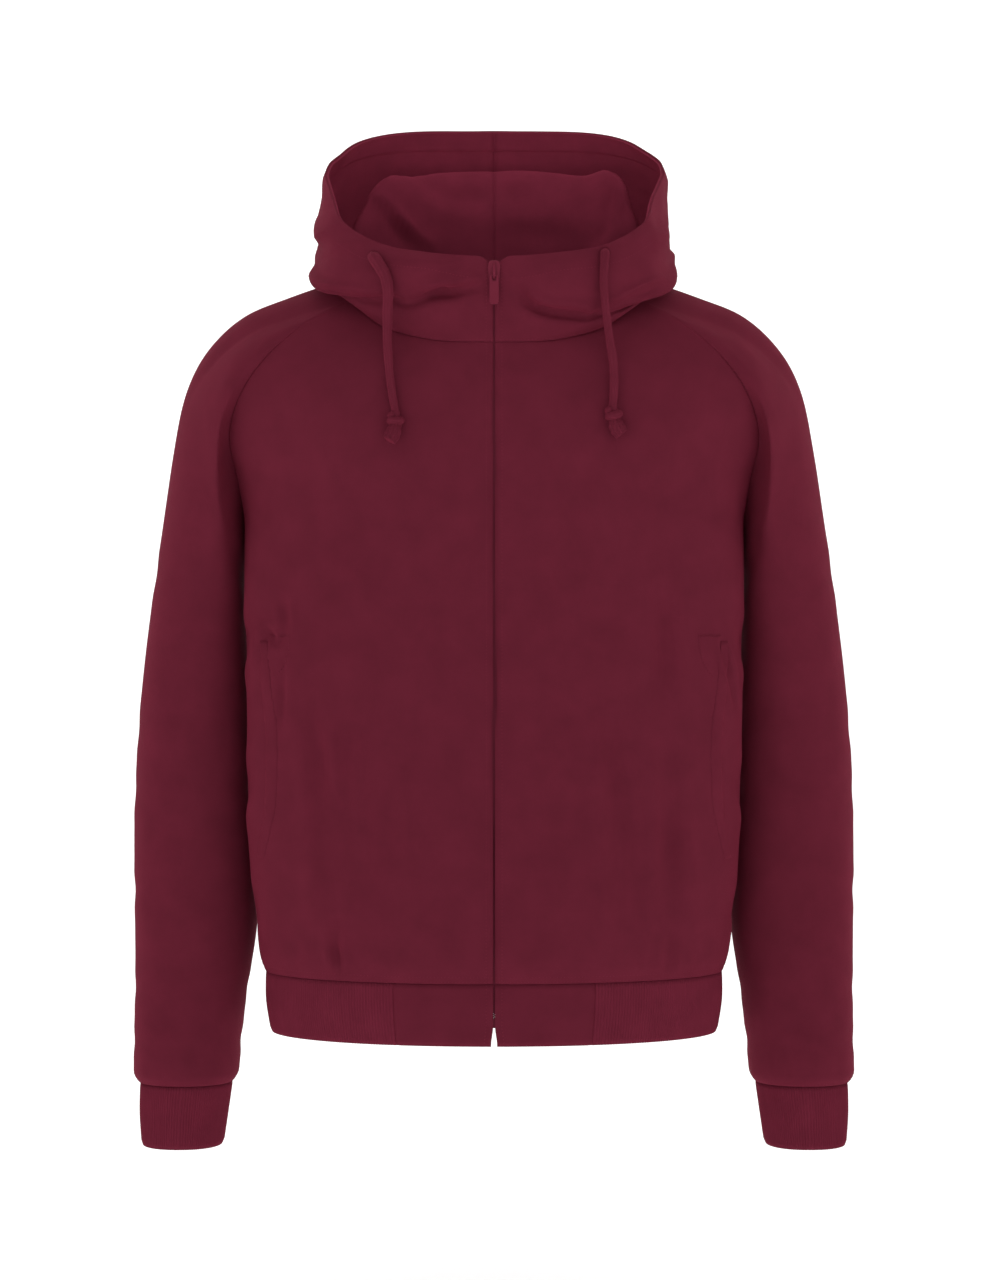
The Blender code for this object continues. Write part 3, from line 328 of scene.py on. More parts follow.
HOOD_CREASES = {
    "front": (
        (26, 42, -1690, -30, -1520, -120, -1330, -170, -1080, -220, -890, -210),
        (50, 42, -890, -220, -790, -270, -670, -240, -570, -200, -380, -180, -240, -140, -70, -130),
        (34, 38, -600, -180, -430, -130, -310, -60),
        (52, 46, 180, -100, 280, -230, 360, -300, 480, -340, 620, -360, 740, -370, 880, -400),
        (30, 36, 880, -380, 915, -330, 940, -220),
        (34, 44, 980, -310, 1130, -260, 1280, -180, 1380, -130, 1640, -20),
        (22, 28, 1130, -410, 1250, -300, 1340, -180),
        (16, 80, -1500, 200, -1280, 160, -1120, 180),
        (14, 90, 1120, 140, 1320, 200, 1500, 340),
    ),
    "back": (
        (30, 120, -1300, 600, -800, 200, -300, 40, 200, 60),
        (26, 110, 1360, 740, 940, 400, 500, 300),
        (22, 100, -1000, 1180, -520, 920, 0, 860, 480, 960),
        (24, 120, -700, -240, -200, -380, 400, -300),
    ),
    "inside": (
        (62, 60, -1210, 940, -1070, 860, -960, 720, -840, 580, -650, 470),
        (40, 44, 1160, 1180, 1150, 1050, 1115, 900, 1080, 710, 1010, 570),
        (20, 110, -600, 1040, -300, 960, 40, 980, 400, 920),
        (18, 100, 100, 700, 400, 640, 780, 700),
    ),
    "side": (
        (34, 90, -600, 280, -100, 420, 400, 660, 800, 740),
        (28, 80, -200, 120, 300, 260, 700, 300),
        (26, 100, 900, 200, 1200, 600, 1320, 1000),
    ),
}
BODY_CREASES = {
    "front": (
        (40, 90, 1000, -3950, 1080, -4500, 1120, -5200, 1160, -5900),
        (46, 80, 1500, -2800, 1510, -3300, 1530, -3720),
        (50, 100, 1520, -4200, 1560, -4800, 1580, -5450, 1600, -6000),
        (48, 95, -1610, -3800, -1560, -4400, -1500, -5000, -1430, -5700),
        (36, 90, -1280, -4050, -1340, -4700, -1280, -5400),
        (24, 130, -980, -4400, -940, -5000, -1000, -5600),
        (46, 42, -1385, -6290, -1400, -6120, -1420, -5960, -1385, -5750),
        (26, 50, 1580, -6280, 1560, -6060, 1600, -5900),
        (18, 60, -1820, -6260, -1780, -6040, -1800, -5900),
        (18, 60, 1180, -6260, 1220, -6080, 1200, -5960),
        (16, 60, 1900, -6260, 1860, -6060, 1890, -5920),
        (40, 40, -2150, -3300, -2040, -3180, -1960, -3260, -1900, -3180, -1880, -2900),
        (30, 36, -2120, -3440, -2070, -3320, -2030, -3160),
        (22, 40, -1895, -3400, -1900, -3700, -1915, -4110),
        (44, 30, 2040, -3250, 2100, -3450, 2160, -3650, 2200, -3840),
        (22, 160, -1960, -2500, -1600, -2320, -1100, -2400),
        (22, 160, 2000, -2540, 1580, -2400, 1060, -2520),
        (20, 180, -1800, -3300, -1300, -3180, -700, -3300),
        (16, 180, 1760, -3180, 1200, -3060, 660, -3120),
        (24, 150, -1960, -1200, -1720, -1600, -1600, -2050),
        (24, 150, 1980, -1240, 1760, -1640, 1660, -2100),
        (14, 200, -400, -4700, -300, -5400, -440, -6000),
        (14, 200, 460, -4800, 340, -5500, 500, -6040),
    ),
    "back": (
        (30, 170, -1500, -2700, -800, -3000, 0, -2920, 600, -3060),
        (26, 160, 1500, -3300, 800, -3520, 100, -3500),
        (30, 150, -1200, -4200, -400, -4460, 500, -4360, 1200, -4500),
        (24, 140, -1500, -5050, -700, -5200, 0, -5060),
        (24, 140, 1500, -5400, 800, -5560, 200, -5480),
        (30, 60, -1200, -6260, -1160, -6000, -1220, -5750),
        (24, 60, -600, -6260, -640, -6040, -580, -5880),
        (28, 60, 200, -6260, 260, -5980, 200, -5740),
        (22, 60, 860, -6260, 820, -6060, 880, -5900),
        (26, 60, 1500, -6260, 1460, -6020, 1500, -5800),
        (24, 160, -2000, -1400, -1600, -1800, -1400, -2300),
        (24, 160, 2000, -1460, 1660, -1900, 1500, -2360),
    ),
    "side": (
        (34, 150, -700, -3000, -200, -3300, 400, -3220),
        (30, 150, -600, -4400, 0, -4700, 600, -4600),
        (24, 130, -400, -5600, 100, -5800, 600, -5720),
    ),
}
SLEEVE_CREASES = {
    "front": (
        (10, 110, 2360, -1900, 2620, -2150, 2840, -2620, 2900, -3000),
        (7, 100, 2380, -2500, 2620, -2900, 2720, -3400),
        (8, 100, 2320, -3850, 2560, -4000, 2860, -3960),
        (7, 90, 2340, -4300, 2620, -4500, 3000, -4460),
        (6, 90, 3220, -4200, 3000, -4360, 2800, -4700),
        (7, 90, 2360, -5200, 2620, -5120, 2920, -5240),
        (6, 80, 3260, -5600, 3000, -5740, 2700, -5660),
        (7, 80, 2400, -6150, 2680, -6280, 3000, -6200),
        (7, 75, 3300, -6680, 3000, -6800, 2620, -6720),
        (7, 65, 2500, -7080, 2760, -7000, 3060, -7060),
        (5, 50, 2620, -7350, 2660, -7200, 2620, -7060),
        (5, 50, 2920, -7350, 2900, -7180, 2940, -7040),
        (5, 50, 3160, -7350, 3180, -7200, 3140, -7080),
    ),
    "back": (
        (21, 120, 2400, -2000, 2680, -2320, 2880, -2800),
        (18, 110, 3000, -3000, 2720, -3300, 2440, -3400),
        (19, 110, 2400, -4000, 2760, -4150, 3160, -4050),
        (17, 100, 3180, -4500, 2840, -4700, 2500, -4620),
        (16, 100, 2460, -5300, 2820, -5450, 3200, -5380),
        (15, 90, 3220, -6000, 2900, -6150, 2560, -6060),
        (16, 80, 2500, -6650, 2840, -6760, 3240, -6680),
        (12, 55, 2720, -7350, 2760, -7160, 2700, -7020),
        (12, 55, 3060, -7350, 3040, -7180, 3080, -7040),
    ),
    "side": (
        (8, 120, -400, -2350, 0, -2620, 600, -2580),
        (8, 110, -200, -3850, 300, -4100, 900, -4000),
        (8, 100, 1000, -4520, 500, -4700, 0, -4580),
        (7, 100, -100, -5450, 300, -5600, 840, -5520),
        (7, 85, 760, -6400, 300, -6520, -140, -6400),
        (7, 75, -200, -6900, 200, -7000, 640, -6920),
    ),
}

# ---------------------------------------------------------------- tables and curves


class Table:
    """Rows joined by a smooth curve over their first column."""

    def __init__(self, rows):
        data = np.array(rows, float)
        self.keys = data[:, 0]
        self.values = data[:, 1:]
        self.slopes = np.gradient(self.values, self.keys, axis=0)

    def __call__(self, key):
        last = len(self.keys) - 2
        i = min(max(int(np.searchsorted(self.keys, key)) - 1, 0), last)
        step = self.keys[i + 1] - self.keys[i]
        t = min(max((key - self.keys[i]) / step, 0.0), 1.0)
        start = (1 + 2 * t) * (1 - t) ** 2
        end = t * t * (3 - 2 * t)
        leave = t * (1 - t) ** 2 * step
        arrive = t * t * (t - 1) * step
        return (
            start * self.values[i]
            + end * self.values[i + 1]
            + leave * self.slopes[i]
            + arrive * self.slopes[i + 1]
        )


def along(points):
    points = np.array(points, float)
    steps = np.linalg.norm(np.diff(points, axis=0), axis=1)
    shares = np.concatenate([[0], np.cumsum(steps)]) / steps.sum()
    return Table(np.column_stack([shares, points]))


def ease(low, high, value):
    t = min(max((value - low) / (high - low), 0.0), 1.0)
    return t * t * (3 - 2 * t)


eases = np.vectorize(ease)


def mix(a, b, share):
    return a + (b - a) * share


def unit(vector):
    return vector / max(np.linalg.norm(vector), 1e-9)


def units(vectors):
    return vectors / np.maximum(np.linalg.norm(vectors, axis=-1, keepdims=True), 1e-12)


def lengths_along(path):
    """How far each point of a path lies from its start."""
    return np.concatenate([[0], np.cumsum(np.linalg.norm(np.diff(path, axis=0), axis=1))])


def at_length(length, lengths, values):
    """The value that a path's table has at a length."""
    return np.array([np.interp(length, lengths, values[:, axis]) for axis in range(3)])


def to_side(point, side):
    return np.array([point[0] * side, point[1], point[2]])


neck_ring = Table(NECK)
rim_ring = Table(RIM)
body_table = Table(BODY)
front_line = Table(FRONT_LINE)
back_line = Table(BACK_LINE)
raglan_turn = Table(RAGLAN_TURN)
sleeve_table = Table(SLEEVE)
cuff_table = Table(CUFF[::-1])
hem_table = Table(HEM[::-1])
roll_front = Table(ROLL_FRONT)
roll_side = Table(ROLL_SIDE)
pouch_table = Table(POUCH)
shelf_table = Table(SHELF)
raglan_front = along(RAGLAN_FRONT + (tuple(neck_ring(RAGLAN_FRONT_DEGREES)),))
raglan_back = along(RAGLAN_BACK + (tuple(neck_ring(RAGLAN_BACK_DEGREES)),))
crease_tables = {-1: Table(CREASE_RIGHT), 1: Table(CREASE_LEFT)}

HEM_ROUND = 2.10
WAIST_ROUND = 2.45
CHEST_ROUND = 2.55
SLEEVE_ROUND = 2.25
NECK_CENTRE = np.array([0.0, 0.0, -0.030])
ARMHOLE_CENTRE = (0.012, -0.110)
CORNER_BLEND = 0.040

# ---------------------------------------------------------------- body shape


def across(centre, edge, turn, roundness_here, share):
    angle = turn * share
    reach = (math.sin(angle) / math.sin(turn)) ** (2 / roundness_here)
    end = max(math.cos(turn), 0.0) ** (2 / roundness_here)
    fall = (max(math.cos(angle), 0.0) ** (2 / roundness_here) - end) / (1 - end)
    x = mix(centre[0], edge[0], reach)
    return np.array([x, mix(edge[1], centre[1], fall), mix(edge[2], centre[2], fall)])


def roundness(level):
    low = mix(HEM_ROUND, WAIST_ROUND, ease(-0.68, -0.38, level))
    return mix(low, CHEST_ROUND, ease(UNDERARM, -0.10, level))


def lower_row(level, back, start, share):
    half_width, side_y, front_y, back_y = body_table(level)
    centre = np.array([start, back_y if back else front_y, level])
    edge = np.array([half_width, side_y, level])
    return across(centre, edge, math.pi / 2, roundness(level), share)


def upper_row(height, back, start, share):
    seam = raglan_back if back else raglan_front
    line = back_line if back else front_line
    neck_end = RAGLAN_BACK_DEGREES if back else RAGLAN_FRONT_DEGREES
    neck_start = 180 if back else 0

    def row(at_height):
        level = mix(UNDERARM, line.keys[-1], at_height)
        centre = np.array([start, line(level)[0], level])
        turn = math.radians(raglan_turn(at_height)[0])
        return across(centre, seam(at_height), turn, roundness(level), share)

    target = neck_ring(mix(neck_start, neck_end, share))
    target[0] = max(target[0], start)
    return row(height) + (target - row(1.0)) * height**3


def body_levels():
    shares = np.linspace(0, 1, LOWER_ROWS) ** 1.35
    return [mix(HEM_SEAM, UNDERARM, share) for share in shares]


def body_column(back, start, share):
    points = [lower_row(level, back, start, share) for level in body_levels()]
    heights = np.linspace(0, 1, UPPER_ROWS + 1)[1:]
    stop = 1 - SEAM_GAP / RAGLAN_HEIGHT
    points += [upper_row(height * stop, back, start, share) for height in heights]
    return points


def to_neck(point):
    flat = NECK_CENTRE - point
    flat[2] *= 0.3
    return unit(flat)


def to_armhole(side):
    corners = [to_side(neck_ring(angle), side) for angle in (RAGLAN_FRONT_DEGREES, RAGLAN_BACK_DEGREES)]

    def direction(point):
        near = min(np.linalg.norm(point - corner) for corner in corners)
        centre = np.array([point[0], *ARMHOLE_CENTRE])
        return unit(mix(to_neck(point), unit(centre - point), ease(0, CORNER_BLEND, near)))

    return direction


def to_outer_seam(side):
    raglan = to_armhole(side)

    def direction(point):
        level = ease(UNDERARM - 0.030, UNDERARM, point[2])
        return unit(mix(np.array([-side, 0.0, 0.0]), raglan(point), level))

    return direction


def to_axis(point):
    return unit(np.array([-point[0], -point[1], 0.0]))


def smoother(grid, closed=False):
    """The grid read FINER times as closely, on smooth (Catmull-Rom) curves through its points."""
    for axis in (0, 1):
        work = np.moveaxis(grid, axis, 0)
        count = len(work)
        wrap = closed and axis == 0
        spans = count if wrap else count - 1
        pieces = []
        for i in range(spans):
            at = [i - 1, i, i + 1, i + 2]
            at = [k % count for k in at] if wrap else [min(max(k, 0), count - 1) for k in at]
            a, b, c, d = (work[k] for k in at)
            for step in range(FINER):
                t = step / FINER
                bend = 2 * a - 5 * b + 4 * c - d
                twist = 3 * b - a - 3 * c + d
                pieces.append(0.5 * (2 * b + (c - a) * t + bend * t**2 + twist * t**3))
        if not wrap:
            pieces.append(work[-1])
        grid = np.moveaxis(np.array(pieces), 0, axis)
    return grid


@lru_cache
def front_grid(side):
    shares = np.linspace(0, 1, FRONT_COLUMNS) * (1 - SEAM_GAP / PANEL_WIDTH)
    grid = np.array([[to_side(p, side) for p in body_column(False, ZIP_EDGE, s)] for s in shares])
    return smoother(grid)


@lru_cache
def back_grid():
    half = np.linspace(0, 1, BACK_COLUMNS) * (1 - SEAM_GAP / PANEL_WIDTH)
    columns = [[to_side(p, -1) for p in body_column(True, 0.0, s)] for s in half[:0:-1]]
    columns += [body_column(True, 0.0, s) for s in half]
    return smoother(np.array(columns))


# ---------------------------------------------------------------- sleeve shape


def oval(out, inside, middle_y, half_depth, roundness_here, angle):
    middle = (out + inside) / 2
    reach = (out - inside) / 2
    c, s = math.cos(angle), math.sin(angle)
    along_reach = math.copysign(abs(c) ** (2 / roundness_here), c)
    along_depth = math.copysign(abs(s) ** (2 / roundness_here), s)
    point = middle + reach * along_reach
    point[1] = middle_y - half_depth * along_depth
    return point


def sleeve_ring(share, angle):
    out_x, out_z, in_x, in_z, middle_y, half_depth = sleeve_table(share)
    out = np.array([out_x, middle_y, out_z])
    inside = np.array([in_x, middle_y, in_z])
    return oval(out, inside, middle_y, half_depth, SLEEVE_ROUND, angle)


def armhole(angle):
    degrees = math.degrees(angle) % 360
    front = degrees <= 180
    turned = degrees if front else 360 - degrees
    corner = RAGLAN_FRONT_DEGREES if front else RAGLAN_BACK_DEGREES
    if turned <= SLEEVE_NECK_DEGREES:
        return neck_ring(mix(90, corner, turned / SLEEVE_NECK_DEGREES))
    down = (turned - SLEEVE_NECK_DEGREES) / (180 - SLEEVE_NECK_DEGREES)
    return (raglan_front if front else raglan_back)(1 - down)


def sleeve_point(share, angle):
    point = sleeve_ring(share, angle)
    if share < SLEEVE_BLEND:
        near = (1 - share / SLEEVE_BLEND) ** 2 * (1 + 2 * share / SLEEVE_BLEND)
        point = point + (armhole(angle) - sleeve_ring(0.0, angle)) * near
    return point


@lru_cache
def sleeve_grid(side):
    corner = SLEEVE_NECK_DEGREES
    spans = SLEEVE_COLUMNS // 11
    neck = np.linspace(-corner, corner, 2 * spans + 1)
    front = np.linspace(corner, 180, 5 * spans + 1)
    back = np.linspace(180, 360 - corner, 5 * spans + 1)
    angles = np.radians(np.concatenate([neck[:-1], front[:-1], back[:-1]]))
    shares = np.linspace(0, 1, SLEEVE_ROWS)
    grid = np.array([[to_side(sleeve_point(share, angle), side) for share in shares] for angle in angles])
    return smoother(grid, closed=True)


def cuff_point(level, side, angle, moved_in):
    x_out, x_in, middle_y, half_depth = cuff_table(level)
    out = np.array([x_out - moved_in, middle_y, level])
    inside = np.array([x_in + moved_in, middle_y, level])
    return to_side(oval(out, inside, middle_y, half_depth - moved_in, SLEEVE_ROUND, angle), side)


def hem_point(level, turn, moved_in):
    half_width, side_y, front_y, back_y = hem_table(level)
    turned = turn % 360
    side = 1 if turned <= 180 else -1
    quarter = turned if side > 0 else 360 - turned
    back = quarter > 90
    share = (180 - quarter) / 90 if back else quarter / 90
    middle_y = back_y - moved_in if back else front_y + moved_in
    centre = np.array([0.0, middle_y, level])
    edge = np.array([half_width - moved_in, side_y, level])
    return to_side(across(centre, edge, math.pi / 2, roundness(level), share), side)


# ---------------------------------------------------------------- hood shape


def outwards(degrees):
    angle = math.radians(degrees)
    return np.array([math.sin(angle), -math.cos(angle), 0.0])


def hood_point(side, degrees, share):
    seam = neck_ring(degrees) + np.array([0.0, 0.0, SEAM_GAP])
    rim = rim_ring(degrees)
    crease_share, *crease = crease_tables[side](degrees)
    crease = np.array(crease)
    out = outwards(degrees)
    free = ease(*FREE_OF_ZIP, degrees)
    own = mix(share, shelf_table(share)[0], ease(*SHELF_TURN, degrees))
    if own < crease_share:
        w = own / crease_share
        low = mix(seam, crease, w) + out * BAND_BULGE * free * math.sin(math.pi * w)
    else:
        w = (own - crease_share) / (1 - crease_share)
        to_the_side = ease(30, 78, degrees)
        roll_out, roll_up = mix(roll_front(w) * free, roll_side(w), to_the_side)
        low = mix(crease, rim, w) + out * roll_out + np.array([0.0, 0.0, roll_up])
    pouch_out, pouch_up = pouch_table(share)
    high = mix(seam, rim, share) + out * pouch_out + np.array([0.0, 0.0, pouch_up])
    ridge = ease(*POUCH_OUT[side], degrees)
    rise = ease(*RIDGE_UP[side], degrees)
    drop = ease(*POUCH_DROP[side], degrees)
    later = ease(*POUCH_START, share)
    point = mix(low, high, mix(rise, ridge, later))
    point[2] = mix(low[2], high[2], mix(rise, drop, later))
    return to_side(point, side)


def hood_shares(side, degrees):
    shares = np.linspace(0, 1, HOOD_SAMPLES)
    points = np.array([hood_point(side, degrees, share) for share in shares])
    steps = np.linalg.norm(np.diff(points, axis=0), axis=1)
    steps += steps.sum() * HOOD_EVENNESS / len(steps)
    lengths = np.concatenate([[0], np.cumsum(steps)])
    whole = lengths[-1]
    fold = whole - RIM_HEM * (1 + HOOD_EVENNESS)
    low = np.linspace(0, fold, HOOD_ROWS)
    edge = np.linspace(fold, whole, HEM_FOLD_ROWS + 1)
    return np.interp(np.concatenate([low, edge[1:]]), lengths, shares)


@lru_cache
def hood_grid(side):
    front = np.linspace(0, RAGLAN_FRONT_DEGREES, 14)
    sleeve = np.linspace(RAGLAN_FRONT_DEGREES, RAGLAN_BACK_DEGREES, 13)
    back = np.linspace(RAGLAN_BACK_DEGREES, 180, 12)
    degrees = np.concatenate([front, sleeve[1:], back[1:]])
    grid = np.array([[hood_point(side, d, s) for s in hood_shares(side, d)] for d in degrees])
    grid[0, :, 0] = ZIP_EDGE * side
    grid[-1, :, 0] = SEAM_GAP / 2 * side
    return smoother(grid)


# ---------------------------------------------------------------- cloth

# A crease: steps along its line, facing at which it starts and over which it grows, low ridge beside
# the trough as height, overhang, place and width in widths of the crease
CREASE_STEPS = 25
CREASE_FACING = (0.05, 0.45)
CREASE_RIDGE = (0.42, 0.40, 1.75, 0.8)
WAVES = 5
CALM_SEAM = 0.010


def grid_normals(grid, closed, flip):
    """Unit vectors square to the grid, on its outer side."""
    if closed:
        across_it = np.roll(grid, -1, axis=0) - np.roll(grid, 1, axis=0)
    else:
        across_it = np.gradient(grid, axis=0)
    return units(-np.cross(across_it, np.gradient(grid, axis=1)) * flip)


def crease_field(points, normals, creases, side=1, overhang=0.0):
    """How far each point moves out along its normal for the creases of a piece."""
    moved = np.zeros(points.shape[:-1])
    planes = {
        "front": ((0, 2), np.array([0.0, -1.0, 0.0])),
        "inside": ((0, 2), np.array([0.0, 1.0, 0.0])),
        "back": ((0, 2), np.array([0.0, 1.0, 0.0])),
        "side": ((1, 2), np.array([1.0, 0.0, 0.0])),
    }
    rows = [(seen, *row) for seen, group in creases.items() for row in group]
    for number, (seen, depth, width, *line) in enumerate(rows):
        depth, width = depth / TENTH_MM, width / TENTH_MM
        line = np.reshape(line, (-1, 2)) / TENTH_MM
        axes, view = planes[seen]
        facing = normals @ view
        if seen == "side":
            facing = np.abs(normals[..., 0])
        facing = np.clip((facing - CREASE_FACING[0]) / CREASE_FACING[1], 0, 1)
        flat = points[..., axes] * (np.array([side, 1.0]) if seen != "side" else 1.0)
        route = along(line)
        dense = np.array([route(share) for share in np.linspace(0, 1, CREASE_STEPS)])
        best = np.full(flat.shape[:-1], 9.0)
        where = np.zeros(flat.shape[:-1])
        above = np.zeros(flat.shape[:-1])
        for k in range(len(dense) - 1):
            start, step = dense[k], dense[k + 1] - dense[k]
            t = np.clip(((flat - start) @ step) / (step @ step), 0, 1)
            far = np.linalg.norm(flat - start - t[..., None] * step, axis=-1)
            near = far < best
            best = np.where(near, far, best)
            past = flat - start
            above = np.where(near, np.sign(step[0] * past[..., 1] - step[1] * past[..., 0]), above)
            where = np.where(near, (k + t) / (len(dense) - 1), where)
        taper = np.sin(np.pi * np.clip(where * 0.92 + 0.04, 0, 1)) ** 0.7
        uneven = 1 + 0.25 * np.sin(9.0 * where + 1.7 * number)
        reach = best / (width * (0.85 + 0.3 * where))
        trough = -np.exp(-(reach**2))
        height, lean, place, spread = CREASE_RIDGE
        ridge = (height + lean * overhang * above) * np.exp(-(((reach - place) / spread) ** 2))
        if seen == "inside":
            facing = -facing
        moved += (trough + ridge) * depth * taper * uneven * facing
    return moved


def unevenness(points, size, amount, seed):
    """A soft waviness of the cloth, made of a few crossing waves."""
    moved = np.zeros(points.shape[:-1])
    for k in range(WAVES):
        turn = [math.sin(seed + 2.1 * k), math.cos(1.3 * seed + 1.7 * k), math.sin(0.7 * seed + 3.3 * k)]
        length = size * (0.7 + 0.25 * k)
        moved += np.sin(points @ (unit(np.array(turn)) * 2 * math.pi / length) + seed + k)
    return moved * amount / WAVES


def edge_distances(grid, closed):
    """Distances along the grid from its first, last, low and high sides."""
    columns, rows = grid.shape[:2]
    over = np.linalg.norm(np.diff(grid, axis=0), axis=2)
    up = np.linalg.norm(np.diff(grid, axis=1), axis=2)
    first = np.concatenate([np.zeros((1, rows)), np.cumsum(over, axis=0)])
    low = np.concatenate([np.zeros((columns, 1)), np.cumsum(up, axis=1)], axis=1)
    return {"first": first, "last": first[-1:] - first, "low": low, "high": low[:, -1:] - low}


def pressed(distances, sides, depth=0.0003, width=0.0030):
    """How far cloth is drawn in beside its seams."""
    drawn = 0.0
    for side in sides:
        drawn = drawn - depth * np.exp(-((distances[side] / width) ** 2))
    return drawn


def mesh_object(name, points, faces, uvs, finish, smooth=True):
    mesh = bpy.data.meshes.new(name)
    mesh.from_pydata(points.tolist() if isinstance(points, np.ndarray) else points, [], faces)
    if uvs is not None:
        layer = mesh.uv_layers.new(name="cloth")
        layer.data.foreach_set("uv", np.array(uvs, float).ravel())
    mesh.validate(verbose=False)
    if smooth:
        mesh.shade_smooth()
    mesh.materials.append(finish)
    made = bpy.data.objects.new(name, mesh)
    bpy.context.scene.collection.objects.link(made)
    return made


def shell(name, outer, inner, finish, closed=False, flip=1, inside=None, folded=False):
    """A cloth shell between two grids of points [column][row], with UVs in metres and cut edges.

    A folded shell turns softly over its high side."""
    columns, rows = outer.shape[:2]
    layer = columns * rows
    points = np.concatenate([outer.reshape(-1, 3), inner.reshape(-1, 3)])
    distances = edge_distances(outer, closed)
    u = distances["first"].mean(axis=1)
    if closed:
        u = np.append(u, u[-1] + np.linalg.norm(outer[0] - outer[-1], axis=1).mean())
    v = distances["low"]
    faces = []
    uvs = []
    spans = columns if closed else columns - 1

    def corner(i, j, level):
        faces[-1].append((i % columns) * rows + j + layer * level)
        uvs.append((u[i], v[i % columns, j]))

    def quad(corners):
        faces.append([])
        for i, j, level in corners if flip > 0 else corners[::-1]:
            corner(i, j, level)

    for i in range(spans):
        for j in range(rows - 1):
            quad(((i, j, 0), (i, j + 1, 0), (i + 1, j + 1, 0), (i + 1, j, 0)))
            quad(((i, j, 1), (i + 1, j, 1), (i + 1, j + 1, 1), (i, j + 1, 1)))
        quad(((i, 0, 0), (i + 1, 0, 0), (i + 1, 0, 1), (i, 0, 1)))
        end = rows - 1
        quad(((i, end, 0), (i, end, 1), (i + 1, end, 1), (i + 1, end, 0)))
    if not closed:
        last = columns - 1
        for j in range(rows - 1):
            quad(((0, j, 0), (0, j, 1), (0, j + 1, 1), (0, j + 1, 0)))
            quad(((last, j, 0), (last, j + 1, 0), (last, j + 1, 1), (last, j, 1)))
    made = mesh_object(name, points, faces, uvs, finish)
    soft = [
        all(corner >= layer for corner in face)
        or all(corner < layer for corner in face)
        or (folded and all(corner % rows == rows - 1 for corner in face))
        for face in faces
    ]
    made.data.polygons.foreach_set("use_smooth", soft)
    if inside:
        made.data.materials.append(inside)
        on_inside = [all(corner >= layer for corner in face) for face in faces]
        made.data.polygons.foreach_set("material_index", np.array(on_inside, dtype=np.int32))
    return made


def inner_layer(grid, thickness, closed, flip, edges=None, upright=(), moved=None):
    """The inside of a wall: the grid moved in, with shared directions along the seams."""
    normals = grid_normals(grid, closed, flip)
    inward = -normals
    for column in upright:
        inward[column, :, 0] = 0.0
        inward[column] = units(inward[column])
    sides = {"first": (0, None), "last": (-1, None), "low": (None, 0), "high": (None, -1)}
    for side, direction in (edges or {}).items():
        column, row = sides[side]
        count = grid.shape[1] if row is None else grid.shape[0]
        for i in range(count):
            place = (column, i) if row is None else (i, row)
            inward[place] = direction(grid[place])
    if moved is not None:
        grid = grid + normals * moved[..., None]
    return grid + inward * thickness


def dressed(grid, normals, creases, side, seams, closed, seed, amount=0.0011, size=0.11, overhang=0.0):
    """The outer face of the cloth: creases, waviness and drawn-in seams over the plain form."""
    distances = edge_distances(grid, closed)
    moved = crease_field(grid, normals, creases, side, overhang)
    calm = 1.0
    for name in seams:
        calm = calm * (1 - np.exp(-((distances[name] / CALM_SEAM) ** 2)))
    moved = (moved + unevenness(grid, size, amount, seed)) * calm
    return grid + normals * (moved + pressed(distances, seams))[..., None], moved


# ---------------------------------------------------------------- materials


def node(tree, kind, **settings):
    made = tree.nodes.new(kind)
    for key, value in settings.items():
        setattr(made, key, value)
    return made


def maths(tree, operation, a, b=None):
    made = node(tree, "ShaderNodeMath", operation=operation)
    for socket, value in zip(made.inputs, (a, b)):
        if value is None:
            continue
        if isinstance(value, (int, float)):
            socket.default_value = value
        else:
            tree.links.new(value, socket)
    return made.outputs[0]


def noise(tree, place, scale, detail=None, rough=None):
    """Noise in metres, so that its grain has a real size."""
    made = node(tree, "ShaderNodeTexNoise")
    for socket, value in (("Scale", scale), ("Detail", detail), ("Roughness", rough)):
        if value is not None:
            made.inputs[socket].default_value = value
    tree.links.new(place.outputs["Object"], made.inputs["Vector"])
    return made.outputs[0]


def bumped(tree, shader, height, strength, distance):
    bump = node(tree, "ShaderNodeBump")
    bump.inputs["Strength"].default_value = strength
    bump.inputs["Distance"].default_value = distance
    tree.links.new(height, bump.inputs["Height"])
    tree.links.new(bump.outputs[0], shader.inputs["Normal"])


def new_material(name, settings):
    """A material with its shader's own sockets set."""
    made = bpy.data.materials.new(name)
    made.use_nodes = True
    tree = made.node_tree
    shader = tree.nodes["Principled BSDF"]
    for socket, value in settings.items():
        shader.inputs[socket].default_value = value
    return made, tree, shader


